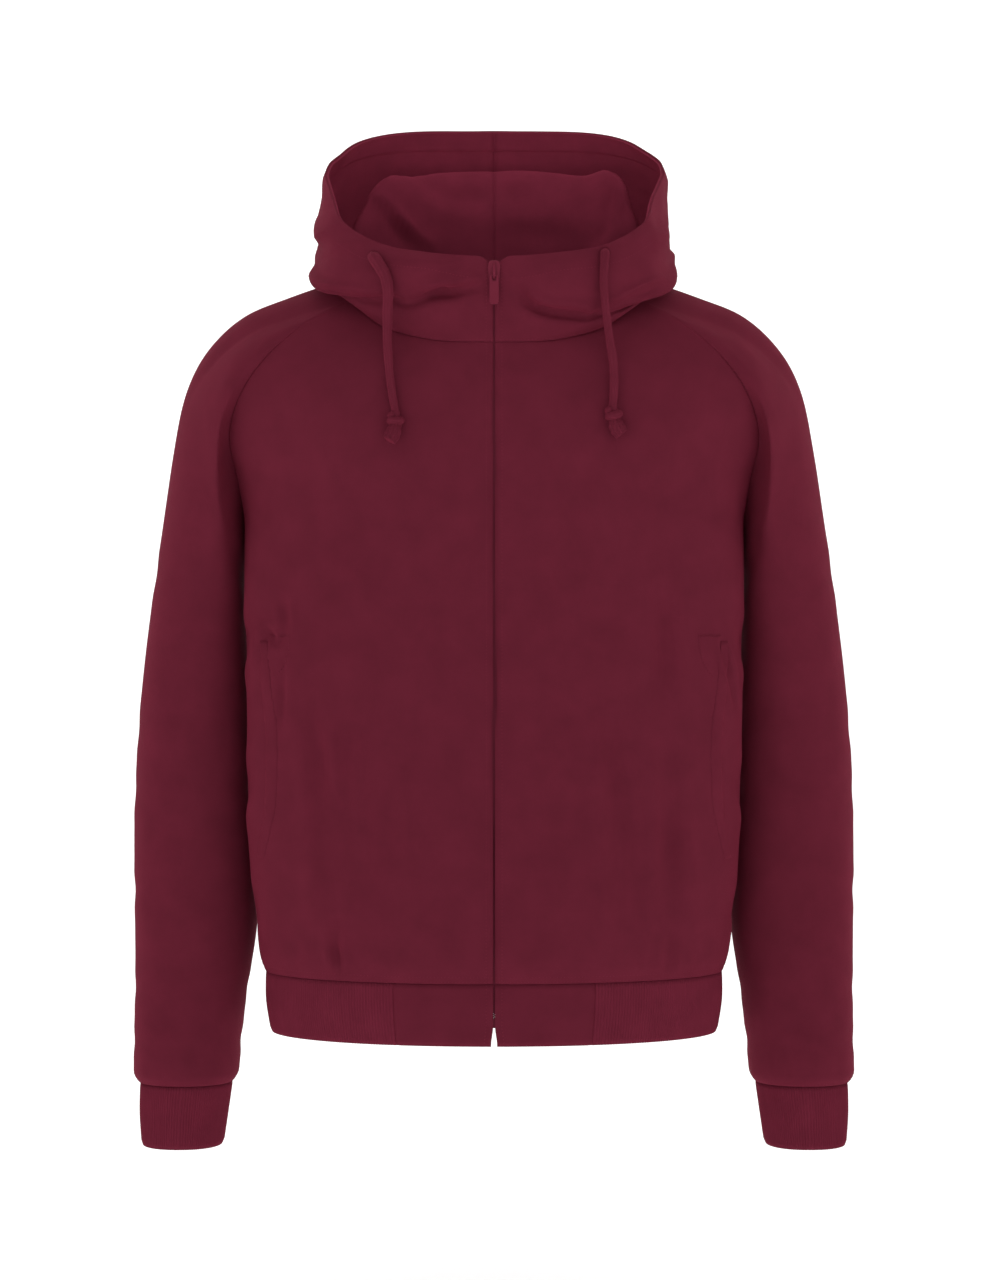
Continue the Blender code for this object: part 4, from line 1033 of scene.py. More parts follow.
def cloth(name, colour, wale, course, strength, sheen=0.22, roughness=0.92, mottle=0.10, fuzz=0.35):
    """A knitted cloth: stitches in rows of small Vs, fuzz, and a slight mottle in its colour."""
    settings = {
        "Roughness": roughness,
        "Specular IOR Level": 0.04,
        "Sheen Weight": sheen,
        "Sheen Roughness": 0.60,
        "Sheen Tint": (0.66, 0.060, 0.130, 1.0),
    }
    made, tree, shader = new_material(name, settings)
    place = node(tree, "ShaderNodeTexCoord")
    split = node(tree, "ShaderNodeSeparateXYZ")
    tree.links.new(place.outputs["UV"], split.inputs[0])
    u = maths(tree, "MULTIPLY", split.outputs[0], 1 / wale)
    v = maths(tree, "MULTIPLY", split.outputs[1], 1 / course)
    column = maths(tree, "PINGPONG", u, 0.5)
    lean = maths(tree, "ADD", v, column)
    stitch = maths(tree, "SINE", maths(tree, "MULTIPLY", lean, 2 * math.pi))
    groove = maths(tree, "SINE", maths(tree, "MULTIPLY", column, 2 * math.pi))
    knit = maths(tree, "MULTIPLY", maths(tree, "ADD", stitch, 1.6), groove)
    fine = maths(tree, "MULTIPLY", noise(tree, place, 1500.0, 3.0), fuzz)
    height = maths(tree, "ADD", maths(tree, "MULTIPLY", knit, 0.4), fine)
    bumped(tree, shader, height, strength, 0.0004)
    shade = node(tree, "ShaderNodeValToRGB")
    for stop, position, share in zip(shade.color_ramp.elements, (0.30, 0.70), (1 - mottle, 1 + mottle)):
        stop.position = position
        stop.color = (*(min(c * share, 1.0) for c in colour), 1.0)
    tree.links.new(noise(tree, place, 34.0, 6.0, 0.65), shade.inputs[0])
    tree.links.new(shade.outputs[0], shader.inputs["Base Color"])
    return made


def enamel(name, colour, roughness, grain):
    """A painted or moulded surface with a fine grain."""
    settings = {"Base Color": (*colour, 1.0), "Roughness": roughness, "Specular IOR Level": 0.05}
    made, tree, shader = new_material(name, settings)
    place = node(tree, "ShaderNodeTexCoord")
    bumped(tree, shader, noise(tree, place, grain), 0.12, 0.0001)
    return made


fleece = cloth("burgundy fleece", (0.118, 0.0135, 0.0275), 0.0011, 0.0009, 0.30)
# Inside face of the fleece: its colour is lightened well above the outer fleece as painted light, so that the
# shaded inside of the hood looks lit
lining_with_painted_light = cloth("fleece inside", (0.190, 0.0220, 0.0450), 0.0013, 0.0012, 0.35)
# The rib's colour is set lighter than the fleece as painted light, to cancel the shade that its pleats cast
# on themselves
rib = cloth("burgundy rib", (0.136, 0.0155, 0.0320), 0.0022, 0.0011, 0.30)
thread = cloth("sewing thread", (0.160, 0.0200, 0.0390), 0.0006, 0.0004, 0.15, sheen=0.2, roughness=0.7)
cord_knit = cloth("drawcord knit", (0.122, 0.0145, 0.0290), 0.0012, 0.0010, 0.45)
tape = cloth("zip tape", (0.085, 0.0105, 0.0215), 0.0007, 0.0007, 0.30, sheen=0.1)
teeth = enamel("zip teeth", (0.095, 0.0105, 0.0220), 0.60, 2600.0)
metal = enamel("slider enamel", (0.150, 0.0160, 0.0340), 0.45, 1400.0)


def finished(made, slot, *nodes):
    """The piece on the garment's body, in place of the nodes it stands for. Its slot argument is not used."""
    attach(made, "garment")
    if nodes:
        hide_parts(*nodes)
    return made


def cloth_piece(node_name, slot, *layers, **how):
    """A cloth shell in place of one node."""
    return finished(shell(node_name + "_cloth", *layers, **how), slot, node_name)


# ---------------------------------------------------------------- camera

CAMERA_PLACE = (-0.0014, -2.4, -0.3246)
CAMERA_HALF_VIEW = 0.5952
camera = bpy.data.cameras.new("camera")
camera.sensor_fit = "VERTICAL"
camera.angle = 2 * math.atan(CAMERA_HALF_VIEW / abs(CAMERA_PLACE[1]))
camera_object = bpy.data.objects.new("camera", camera)
camera_object.location = CAMERA_PLACE
camera_object.rotation_euler = (math.pi / 2, 0.0, 0.0)
bpy.context.scene.collection.objects.link(camera_object)
bpy.context.scene.camera = camera_object
bpy.context.scene.view_settings.view_transform = "Standard"

# ---------------------------------------------------------------- drawcord

CORD_STEPS = 90
CORD_SIDES = 72
CORD_WALES = 9
CORD_FLAT = 0.84
CORD_UNEVEN = (
    # share of the radius, turns along the cord, start
    (0.02, 31.0, 0.0),
    (0.015, 83.0, 1.0),
)
KNOT_STEPS = 72
KNOT_TURNS = (1.70, 0.30)
KNOT_REACH = (0.0048, 0.0012)
KNOT_RISE = (-0.0042, 0.0046, 0.0012)
KNOT_FLAT = 0.74
HEART_STEPS = 20
HEART_RADIUS = 0.0040
TAIL_STEPS = 26
TAIL_LENGTH = 0.0165
TAIL_RADIUS = (0.0040, 0.0024)
EYELET_PLACE = (0.0, 0.0036, 0.0014)
EYELET_BEADS = 22
EYELET_BEAD_HALF = 0.00052
EYELET_PROFILE = ((0.0040, 0.0000), (0.0044, 0.0005), (0.0053, 0.0005), (0.0057, 0.0000))
CORD_LIFT = 0.0008
CORD_ENTRY = (0.0, 0.0066, 0.0012)
WIDE_CORD = (
    # share, half width
    (0.00, 0.0050),
    (0.12, 0.0055),
    (0.30, 0.0047),
    (0.50, 0.0041),
    (0.80, 0.0036),
    (1.00, 0.0034),
)
NARROW_CORD = (
    # share, half width
    (0.00, 0.0041),
    (0.15, 0.0038),
    (0.45, 0.0035),
    (0.70, 0.0038),
    (1.00, 0.0036),
)


def tube(name, path, radius, sides, finish, flat=1.0, wales=0, wale_depth=0.045):
    """A closed tube along a path, with knitted wales along it and its UVs in metres."""
    run = units(np.gradient(path, axis=0))
    side_way = units(np.cross(run, np.array([0.0, -1.0, 0.0])))
    depth_way = np.cross(side_way, run)
    grid = []
    for angle in np.linspace(0, 2 * math.pi, sides, endpoint=False):
        wale = 1 + (wale_depth * math.cos(wales * angle) if wales else 0.0)
        away = side_way * math.cos(angle) + depth_way * math.sin(angle) * flat
        grid.append(path + away * np.reshape(radius, (-1, 1)) * wale)
    grid = np.array(grid)
    columns, rows = grid.shape[:2]
    points = np.concatenate([grid.reshape(-1, 3), path[:1], path[-1:]])
    lengths = lengths_along(path)
    girth = 2 * math.pi * float(np.mean(radius))
    faces = []
    uvs = []
    for i in range(columns):
        k = (i + 1) % columns
        for j in range(rows - 1):
            faces.append((i * rows + j, k * rows + j, k * rows + j + 1, i * rows + j + 1))
            for a, b in ((i, j), (i + 1, j), (i + 1, j + 1), (i, j + 1)):
                uvs.append((a / columns * girth, lengths[b]))
        faces.append((i * rows, columns * rows, k * rows))
        faces.append((i * rows + rows - 1, k * rows + rows - 1, columns * rows + 1))
        uvs += [(0, 0)] * 6
    return outward(mesh_object(name, points, faces, uvs, finish))


def outward(made):
    """The object with all its faces turned outwards."""
    work = bmesh.new()
    work.from_mesh(made.data)
    bmesh.ops.recalc_face_normals(work, faces=work.faces)
    work.to_mesh(made.data)
    work.free()
    return made


def joined(parts):
    """Several meshes as one object."""
    work = bmesh.new()
    for part in parts:
        work.from_mesh(part.data)
    work.to_mesh(parts[0].data)
    work.free()
    for part in parts[1:]:
        bpy.data.objects.remove(part, do_unlink=True)
    parts[0].data.shade_smooth()
    return parts[0]


def make_cord(side_name, route, widths, turn):
    first = np.array(route[0])
    lifted = [np.array(point) + np.array([0.0, -CORD_LIFT, 0.0]) for point in route]
    curve = along([first + np.array(CORD_ENTRY)] + lifted)
    shares = np.linspace(0, 1, CORD_STEPS)
    path = np.array([curve(share) for share in shares])
    width_table = Table(widths)
    radius = np.array([width_table(share)[0] for share in shares])
    uneven = 1
    for amount, turns, start in CORD_UNEVEN:
        uneven = uneven + amount * np.sin(shares * turns + start)
    radius = radius * uneven
    cord = tube("cord_" + side_name, path, radius, CORD_SIDES, cord_knit, CORD_FLAT, CORD_WALES)
    finished(cord, "drawcord", "drawcord_" + side_name)
    knot = make_knot("cord_knot_" + side_name, path, turn, radius[-1])
    finished(knot, "drawcord", "knot_" + side_name)
    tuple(route[0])


def make_knot(name, path, turn, cord_radius):
    """An overhand knot: cord wound round the cord, and the short cut end that comes out below it."""
    start = unit(path[-1] - path[-4])
    goal = unit(np.array(turn))
    down = unit(start + goal)
    side_way = unit(np.cross(down, np.array([0.0, 1.0, 0.0])))
    depth_way = np.cross(down, side_way)
    middle = path[-1] + down * 0.0055 + np.array([0.0, -0.0008, 0.0])
    wound = []
    for t in np.linspace(0, 1, KNOT_STEPS):
        angle = 2 * math.pi * (KNOT_TURNS[0] * t + KNOT_TURNS[1])
        reach = KNOT_REACH[0] - KNOT_REACH[1] * (2 * t - 1) ** 2
        lift = mix(*KNOT_RISE[:2], t) + KNOT_RISE[2] * math.sin(angle + 0.6)
        around = side_way * math.cos(angle) + depth_way * math.sin(angle) * KNOT_FLAT
        wound.append(middle + around * reach + down * lift)
    wound_radius = cord_radius * (0.98 - 0.35 * np.abs(np.linspace(-1, 1, KNOT_STEPS)) ** 8)
    heart_ends = path[-1] - start * 0.002, middle + down * 0.006
    heart = np.array([mix(*heart_ends, t) for t in np.linspace(0, 1, HEART_STEPS)])
    tail = []
    tail_shares = np.linspace(0, 1, TAIL_STEPS)
    for t in tail_shares:
        bend = unit(mix(down, goal, t))
        tail.append(middle + down * 0.0030 + bend * TAIL_LENGTH * t)
    full = np.sin(np.pi * np.clip(tail_shares * 0.72 + 0.04, 0, 1)) ** 1.2
    tail_radius = TAIL_RADIUS[0] + TAIL_RADIUS[1] * full
    tail_radius = tail_radius * (1 + 0.03 * np.sin(tail_shares * 19.0 + 0.7))
    return joined(
        [
            tube(name, heart, np.full(HEART_STEPS, HEART_RADIUS), 40, cord_knit, 0.85),
            tube(name + "_wound", np.array(wound), wound_radius, 48, cord_knit, 0.94, CORD_WALES),
            tube(name + "_tail", np.array(tail), tail_radius, 66, cord_knit, 0.84, 11, 0.10),
        ]
    )


def make_eyelet(name, route):
    """The stitched eyelet round the cord where it comes out of the hood."""
    centre = np.array(route[0]) + np.array(EYELET_PLACE)
    points = []
    faces = []
    for k in range(EYELET_BEADS):
        angle = 2 * math.pi * k / EYELET_BEADS
        out = np.array([math.cos(angle), -0.10 * math.sin(angle), math.sin(angle)])
        base = len(points)
        for reach, rise in EYELET_PROFILE:
            for twist in (-1, 1):
                around = np.array([-math.sin(angle), 0.0, math.cos(angle)]) * twist * EYELET_BEAD_HALF
                points.append(centre + out * reach + around + np.array([0.0, -rise, 0.0]))
        for step in (0, 2, 4):
            faces.append((base + step, base + step + 1, base + step + 3, base + step + 2))
    made = mesh_object(name, points, faces, None, fleece)
    finished(made, "fleece")


make_cord("right", CORD_RIGHT, WIDE_CORD, (-0.30, -0.25, -0.92))
make_cord("left", CORD_LEFT, NARROW_CORD, (0.42, -0.05, -0.90))
make_eyelet("eyelet_right", CORD_RIGHT)
make_eyelet("eyelet_left", CORD_LEFT)

# ---------------------------------------------------------------- stitches

stitch_points = []
stitch_faces = []
# Outer face and normals of each piece, by the name of its node
outers = {}


def stitch_line(path, normals, pitch=0.0032, length=0.0023, half=0.00042):
    """Stitches end to end along a line on the cloth, each a small rounded bead half sunk in it."""
    lengths = lengths_along(path)
    for k in range(int(lengths[-1] / pitch)):
        ends = []
        for at in (k * pitch, k * pitch + length / 2, k * pitch + length):
            ends.append((at_length(at, lengths, path), unit(at_length(at, lengths, normals))))
        (a, _), (b, up), (c, _) = ends
        run = unit(c - a)
        aside = unit(np.cross(run, up))
        base = len(stitch_points)
        top = b + up * half * 0.9
        low = b - up * half
        sunk = up * half * 0.6
        stitch_points.extend([a - sunk, c - sunk, b + aside * half, b - aside * half, top, low])
        for first, second in ((2, 4), (4, 3), (3, 5), (5, 2)):
            stitch_faces.append((base, base + first, base + second))
            stitch_faces.append((base + 1, base + second, base + first))


def inset_line(grid, distances, side, inset):
    """A line on the grid at a distance from one of its sides."""
    turned = side in ("first", "last")
    work = np.moveaxis(grid, 0, 1) if turned else grid
    far = distances[side].T if turned else distances[side]
    line = []
    for points, away in zip(work, far):
        order = np.argsort(away)
        line.append([np.interp(inset, away[order], points[order, axis]) for axis in range(3)])
    return np.array(line)


def sew(name, side, insets, keep=slice(None)):
    """Rows of stitches beside one side of a piece, all round on a sleeve."""
    outer, normals = outers[name]
    closed = name.startswith("sleeve")
    distances = edge_distances(outer, closed)
    for inset in insets:
        path = inset_line(outer, distances, side, inset)[keep]
        upward = inset_line(normals, distances, side, inset)[keep]
        if closed:
            path = np.concatenate([path, path[:1]])
            upward = np.concatenate([upward, upward[:1]])
        stitch_line(path, upward)


# ---------------------------------------------------------------- body pieces

# Where each piece's waviness starts, and the drawn-in edge beside the zip
FRONT_SEED, BACK_SEED, SLEEVE_SEED, HOOD_SEED = 2.0, 5.0, 7.0, 11.0
ZIP_PRESS = (0.0005, 0.0016)



def make_front(name, side):
    grid = front_grid(side)
    normals = grid_normals(grid, False, -side)
    seams = ("last", "low", "high")
    outer, moved = dressed(grid, normals, BODY_CREASES, 1, seams, False, FRONT_SEED + side)
    outer = outer + normals * pressed(edge_distances(grid, False), ("first",), *ZIP_PRESS)[..., None]
    edges = {"low": to_axis, "high": to_neck, "last": to_outer_seam(side)}
    inner = inner_layer(grid, FLEECE, False, -side, edges, (0,), moved)
    outers[name] = (outer, grid_normals(outer, False, -side))
    made = cloth_piece(name, "fleece", outer, inner, fleece, flip=-side, inside=lining_with_painted_light)


def make_back():
    grid = back_grid()
    normals = grid_normals(grid, False, 1)
    outer, moved = dressed(grid, normals, BODY_CREASES, 1, ("first", "last", "low", "high"), False, BACK_SEED)
    edges = {"low": to_axis, "high": to_neck, "first": to_outer_seam(-1), "last": to_outer_seam(1)}
    inner = inner_layer(grid, FLEECE, False, 1, edges, (), moved)
    outers["back"] = (outer, grid_normals(outer, False, 1))
    made = cloth_piece("back", "fleece", outer, inner, fleece, inside=lining_with_painted_light)


make_front("front_left", 1)
make_front("front_right", -1)
make_back()

# ---------------------------------------------------------------- sleeves and cuffs


SLEEVE_WAVES = (0.0005, 0.13)


def make_sleeve(name, side):
    grid = sleeve_grid(side)
    normals = grid_normals(grid, True, -side)
    seams = ("low", "high")
    seed = SLEEVE_SEED + side
    outer, moved = dressed(grid, normals, SLEEVE_CREASES, side, seams, True, seed, *SLEEVE_WAVES)
    raglan = to_armhole(side)
    cuff_middle = np.array([side * CUFF_MIDDLE[0], CUFF_MIDDLE[1], CUFF_SEAM])
    edges = {"low": raglan, "high": lambda point: unit(cuff_middle - point)}
    inner = inner_layer(grid, FLEECE, True, -side, edges, (), moved)
    outers[name] = (outer, grid_normals(outer, True, -side))
    made = cloth_piece(name, "fleece", outer, inner, fleece, closed=True, flip=-side, inside=lining_with_painted_light)


make_sleeve("sleeve_left", 1)
make_sleeve("sleeve_right", -1)


def rib_profile(phase):
    """Height of a rib, from 0 in the groove to 1 on its crown."""
    return np.abs(np.sin(np.pi * phase)) ** 0.65


BAND_END = (0.0012, 0.0022)
BAND_TOP = 0.0030
CUFF_TOP = 0.0006
HEM_TOP = 0.0003
CUFF_LEVELS = 15
HEM_LEVELS = 13
INSERT_COLUMNS = 40
INSERT_PRESS = (0.0008, 0.0020)


def raised_ribs(i):
    """How far the cloth lies below a rib's crown."""
    return RIB_RAISE * (1 - rib_profile(i / RIB_STEPS))


def band(point_at, turns, levels, moved, top):
    """A band's outer grid: rounded at its free end and, over a depth of top, at its seam."""
    grid = []
    for i, turn in enumerate(turns):
        column = []
        for level in levels:
            rounding = BAND_END[0] * math.exp(-(((level - levels[-1]) / BAND_END[1]) ** 2))
            rounding += top * math.exp(-(((level - levels[0]) / BAND_TOP) ** 2))
            column.append(point_at(level, turn, moved(i) + rounding))
        grid.append(column)
    return np.array(grid)


def plain_band(point_at, turns, levels, moved):
    return np.array([[point_at(level, turn, moved) for level in levels] for turn in turns])


def make_cuff(name, side):
    columns = CUFF_RIBS * RIB_STEPS
    levels = np.linspace(CUFF[0][0], CUFF[-1][0], CUFF_LEVELS)
    angles = [2 * math.pi * i / columns for i in range(columns)]

    def point_at(level, angle, moved_in):
        return cuff_point(level, side, angle, moved_in)

    outer = band(point_at, angles, levels, raised_ribs, CUFF_TOP)
    inner = plain_band(point_at, angles, levels, RIB_RAISE + RIB_CLOTH)
    made = cloth_piece(name, "rib", outer, inner, rib, closed=True, flip=side)


make_cuff("cuff_left", 1)
make_cuff("cuff_right", -1)


def make_hem_rib(levels):
    first = HEM_INSERT_TURN + math.degrees(SEAM_GAP / BAND_REACH)
    turns = np.linspace(first, 360 - first, HEM_RIBS * RIB_STEPS + 1)
    outer = band(hem_point, turns, levels, raised_ribs, HEM_TOP)
    inner = plain_band(hem_point, turns, levels, RIB_RAISE + RIB_CLOTH)
    made = cloth_piece("hem_rib", "rib", outer, inner, rib, flip=1)


def make_insert(name, side, levels):
    turns = np.linspace(0, HEM_INSERT_TURN, INSERT_COLUMNS) * side
    outer = band(hem_point, turns, levels, lambda i: 0.0, HEM_TOP)
    inner = plain_band(hem_point, turns, levels, FLEECE)
    opened = HEM_NOTCH * (1 - eases(levels.min(), ZIP_BOTTOM + 0.002, levels))
    outer[0, :, 0] = inner[0, :, 0] = (ZIP_EDGE + opened) * side
    normals = grid_normals(outer, False, side)
    outer = outer + normals * pressed(edge_distances(outer, False), ("last",), *INSERT_PRESS)[..., None]
    outers[name] = (outer, normals)
    made = cloth_piece(name, "fleece", outer, inner, fleece, flip=side)


hem_levels = np.linspace(HEM[0][0], HEM[-1][0], HEM_LEVELS)
make_hem_rib(hem_levels)
make_insert("hem_insert_left", 1, hem_levels)
make_insert("hem_insert_right", -1, hem_levels)

# ---------------------------------------------------------------- hood

HOOD_SIDES = (
    # z, how far the wearer's right and left sides lie from the plain form, towards +x
    (-0.010, 0.000, 0.000),
    (0.010, 0.002, -0.004),
    (0.023, 0.005, -0.004),
    (0.034, 0.003, -0.002),
    (0.045, 0.000, -0.004),
    (0.057, 0.003, -0.009),
    (0.070, 0.005, -0.009),
    (0.082, 0.004, -0.007),
    (0.095, 0.002, -0.003),
    (0.110, -0.002, 0.003),
    (0.128, -0.003, 0.006),
    (0.140, 0.001, 0.005),
    (0.160, 0.002, 0.002),
)
SIDE_OUT = (0.136, 0.160)
SIDE_BACK = (0.055, 0.095)
RIDGE_CORNER = {-1: (0.008, 0.004, 0.005), 1: (0.011, 0.004, 0.011)}
RIDGE_CORNER_TURN = (120.0, 9.0)
RIDGE_CORNER_ROWS = (0.22, 0.13)


def settled(grid, side):
    """The hood with the folds that its own weight draws into its sides and its ridge."""
    moved = grid.copy()
    rows = np.linspace(0, 1, grid.shape[1])[None, :]
    levels, right, left = np.array(HOOD_SIDES).T
    shift = np.interp(grid[..., 2], levels, left if side > 0 else right)
    far_out = eases(*SIDE_OUT, np.abs(grid[..., 0]))
    in_front = 1 - eases(*SIDE_BACK, grid[..., 1])
    moved[..., 0] += shift * far_out * in_front
    turn = np.degrees(np.arctan2(np.abs(grid[:, :1, 0]), -grid[:, :1, 1]))
    middle, width = RIDGE_CORNER_TURN
    corner = np.exp(-(((turn - middle) / width) ** 2))
    middle, width = RIDGE_CORNER_ROWS
    corner = corner * np.exp(-(((rows - middle) / width) ** 2)) * eases(0.0, 0.1, rows)
    out, back, up = RIDGE_CORNER[side]
    return moved + corner[..., None] * np.array([out * side, back, up])


def notched(grid):
    """The hood with the front corners of its face edge drawn down to the zip."""
    near = 1 - eases(*NOTCH_REACH, np.abs(grid[..., 0]))
    high = eases(*NOTCH_LEVELS, grid[..., 2])
    lowered = grid.copy()
    lowered[..., 2] -= NOTCH_DEPTH * near * high * (grid[..., 1] < 0)
    return lowered


# Size and length of the hood's waves, and how far its folds hang over
HOOD_WAVES = (0.0008, 0.09, 1.0)
CENTRE_PRESS = (0.0003, 0.0026)
# Share of a row that the turned-in strip stops short, and the wall's share on its first rows
STRIP_SHORTER = 0.2
STRIP_THINNED = (0.06, 0.65)


def upright_ways(inward):
    """The wall's inward directions, kept in the middle plane along the zip and the centre seam."""
    for column in (0, -1):
        inward[column, :, 0] = 0.0
        inward[column] = units(inward[column])
    return inward


def make_hood(name, side):
    grid = settled(notched(hood_grid(side)), side)
    normals = grid_normals(grid, False, -side)
    seams = ("low", "first", "last")
    outer, moved = dressed(grid, normals, HOOD_CREASES, 1, seams, False, HOOD_SEED, *HOOD_WAVES)
    inner = inner_layer(grid, FLEECE, False, -side, {"low": to_neck}, (0, -1), moved)
    inner = inner - normals * pressed(edge_distances(grid, False), ("last",), *CENTRE_PRESS)[..., None]
    outer[0, :, 0] = inner[0, :, 0] = ZIP_EDGE * side
    outer[-1, :, 0] = inner[-1, :, 0] = 0.0
    outers[name] = (outer, grid_normals(outer, False, -side))
    made = cloth_piece(name, "fleece", outer, inner, fleece, flip=-side, inside=lining_with_painted_light, folded=True)
    make_hood_hem(name, side, grid, normals, moved)


def make_hood_hem(name, side, grid, normals, moved):
    """The strip of the face edge that is turned in behind the hood's cloth."""
    rows = slice(-1 - HEM_FOLD_ROWS * FINER, None)
    inward = upright_ways(-normals)
    strip = grid[:, rows] + (inward * (FLEECE + SEAM_GAP) + normals * moved[..., None])[:, rows]
    strip[-1, :, 0] = 0.0
    strip[:, -1] = mix(strip[:, -1], strip[:, -2], STRIP_SHORTER)
    keep = np.abs(strip[:, :, 0]).min(axis=1) > TAPE_OUT
    keep[-3:] = True
    strip = strip[keep]
    inner = inner_layer(strip, HEM_LAYER, False, -side, None, (-1,))
    for row, share in enumerate(STRIP_THINNED):
        inner[:, row] = mix(strip[:, row], inner[:, row], share)
    made = cloth_piece(name.replace("hood", "hood_hem"), "fleece", strip, inner, lining_with_painted_light, flip=-side)


make_hood("hood_left", 1)
make_hood("hood_right", -1)

# ---------------------------------------------------------------- zip

TAPE_CLOTH = 0.0007
TAPE_BEHIND = 0.0005
TAPE_COLUMNS = 8
ZIP_ROW = 0.0028
# A tooth: sections from the far side to its head as x and size, half sizes, depth of its middle
TOOTH_SECTIONS = ((-0.0006, 0.72), (0.0000, 1.0), (0.0017, 1.0), (0.0023, 0.80))
TOOTH_HALF = (0.00058, 0.00085)
TOOTH_DEPTH = 0.0015
TOOTH_RING = ((-1.0, -0.6), (-0.6, -1.0), (0.6, -1.0), (1.0, -0.6),
              (1.0, 0.6), (0.6, 1.0), (-0.6, 1.0), (-1.0, 0.6))


def zip_line(bottom, top):
    """Rows of the zip's line: y over z, read from the front edges."""
    points = [hem_point(row[0], 0.0, 0.0) for row in HEM[::-1]]
    points += list(front_grid(1)[0]) + list(hood_grid(1)[0])
    kept = [points[0]]
    for point in points[1:]:
        if point[2] - kept[-1][2] > ZIP_ROW:
            kept.append(point)
    levels = [point[2] for point in kept]
    rows = [bottom] + [level for level in levels if bottom + 0.002 < level < top - 0.002] + [top]
    return np.array([[0.0, np.interp(level, levels, [p[1] for p in kept]), level] for level in rows])


def zip_inward(line):
    run = np.gradient(line, axis=0)
    return units(np.stack([np.zeros(len(line)), run[:, 2], -run[:, 1]], axis=1))


def make_tapes():
    line = zip_line(ZIP_BOTTOM, TAPE_TOP)
    inward = zip_inward(line)
    for side, name in ((1, "zip_tape_left"), (-1, "zip_tape_right")):
        grid = []
        for x in np.linspace(TAPE_IN, TAPE_OUT, TAPE_COLUMNS):
            column = line + inward * (FLEECE + TAPE_BEHIND)
            column[:, 0] = x * side
            grid.append(column)
        grid = np.array(grid)
        inner = inner_layer(grid, TAPE_CLOTH, False, -side)
        made = cloth_piece(name, "zip_tape", grid, inner, tape, flip=-side)


def make_teeth():
    """Two rows of small rounded teeth that lock over the middle of the tapes."""
    line = zip_line(STOP_TOP, CHAIN_TOP)
    inward = zip_inward(line)
    lengths = lengths_along(line)
    points = []
    faces = []
    for k in range(int(lengths[-1] / (TOOTH_PITCH / 2))):
        at = k * TOOTH_PITCH / 2
        side = 1 if k % 2 else -1
        middle = at_length(at, lengths, line)
        back_way = unit(at_length(at, lengths, inward))
        up = np.cross(back_way, np.array([1.0, 0.0, 0.0]))
        base = len(points)
        for x, grow in TOOTH_SECTIONS:
            centre = middle + np.array([x * side, 0.0, 0.0]) + back_way * TOOTH_DEPTH
            for a, b in TOOTH_RING:
                points.append(centre + up * a * TOOTH_HALF[0] * grow + back_way * b * TOOTH_HALF[1] * grow)
        for level in range(3):
            for i in range(8):
                j = (i + 1) % 8
                a = base + level * 8
                faces.append((a + i, a + j, a + 8 + j, a + 8 + i))
        faces.append(tuple(range(base + 7, base - 1, -1)))
        faces.append(tuple(range(base + 24, base + 32)))
    made = mesh_object("zip_teeth_rows", points, faces, None, teeth)
    finished(outward(made), "zip_teeth", "zip_chain")


make_tapes()
make_teeth()

for name, finish in (("zip_stop", teeth), ("zip_slider", metal), ("zip_bail", metal), ("zip_pull", metal)):
    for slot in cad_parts[name].material_slots:
        slot.material = finish

# ---------------------------------------------------------------- pockets

WELT_RIGHT = (
    # x, z of the opening's edge, from the top down; the two sides are alike but not the same, and this one
    # table serves both, mirrored
    (0.2050, -0.3260),
    (0.2020, -0.3620),
    (0.1960, -0.4050),
    (0.1955, -0.4400),
    (0.1975, -0.4750),
    (0.2035, -0.5020),
    (0.2090, -0.5230),
)
POCKET_TURN = (
    # x, z of the sewing that rounds the top corner of the pocket
    (0.1835, -0.3220),
    (0.1850, -0.3360),
    (0.1880, -0.3460),
    (0.1940, -0.3550),
    (0.2000, -0.3585),
)


NEAREST = 4


def surface_strip(outer, normals, line, lifts):
    """Points of the cloth's outer face nearest to lines drawn in x and z, lifted off it."""
    flat = outer[..., (0, 2)].reshape(-1, 2)
    facing = normals.reshape(-1, 3)[:, 1] < 0.35
    points = outer.reshape(-1, 3)
    ways = normals.reshape(-1, 3)
    found = []
    for x, z in line:
        far = np.linalg.norm(flat - np.array([x, z]), axis=1) + np.where(facing, 0.0, 1.0)
        near = np.argsort(far)[:NEAREST]
        weight = 1 / (far[near] + 0.0002)
        weight /= weight.sum()
        found.append(((points[near] * weight[:, None]).sum(0), unit((ways[near] * weight[:, None]).sum(0))))
    return np.array([p + n * lifts for p, n in found]), np.array([n for p, n in found])


# Across the welt: share of its width and lift off the cloth
WELT_PROFILE = ((0.0, 0.0001), (0.12, 0.0005), (0.5, 0.0007), (0.88, 0.0005), (1.0, 0.0001))
WELT_EDGES = (-0.0010, 0.0105)
WELT_STEPS = 60
BARTACK = (0.1825, 0.2050, -0.3215)


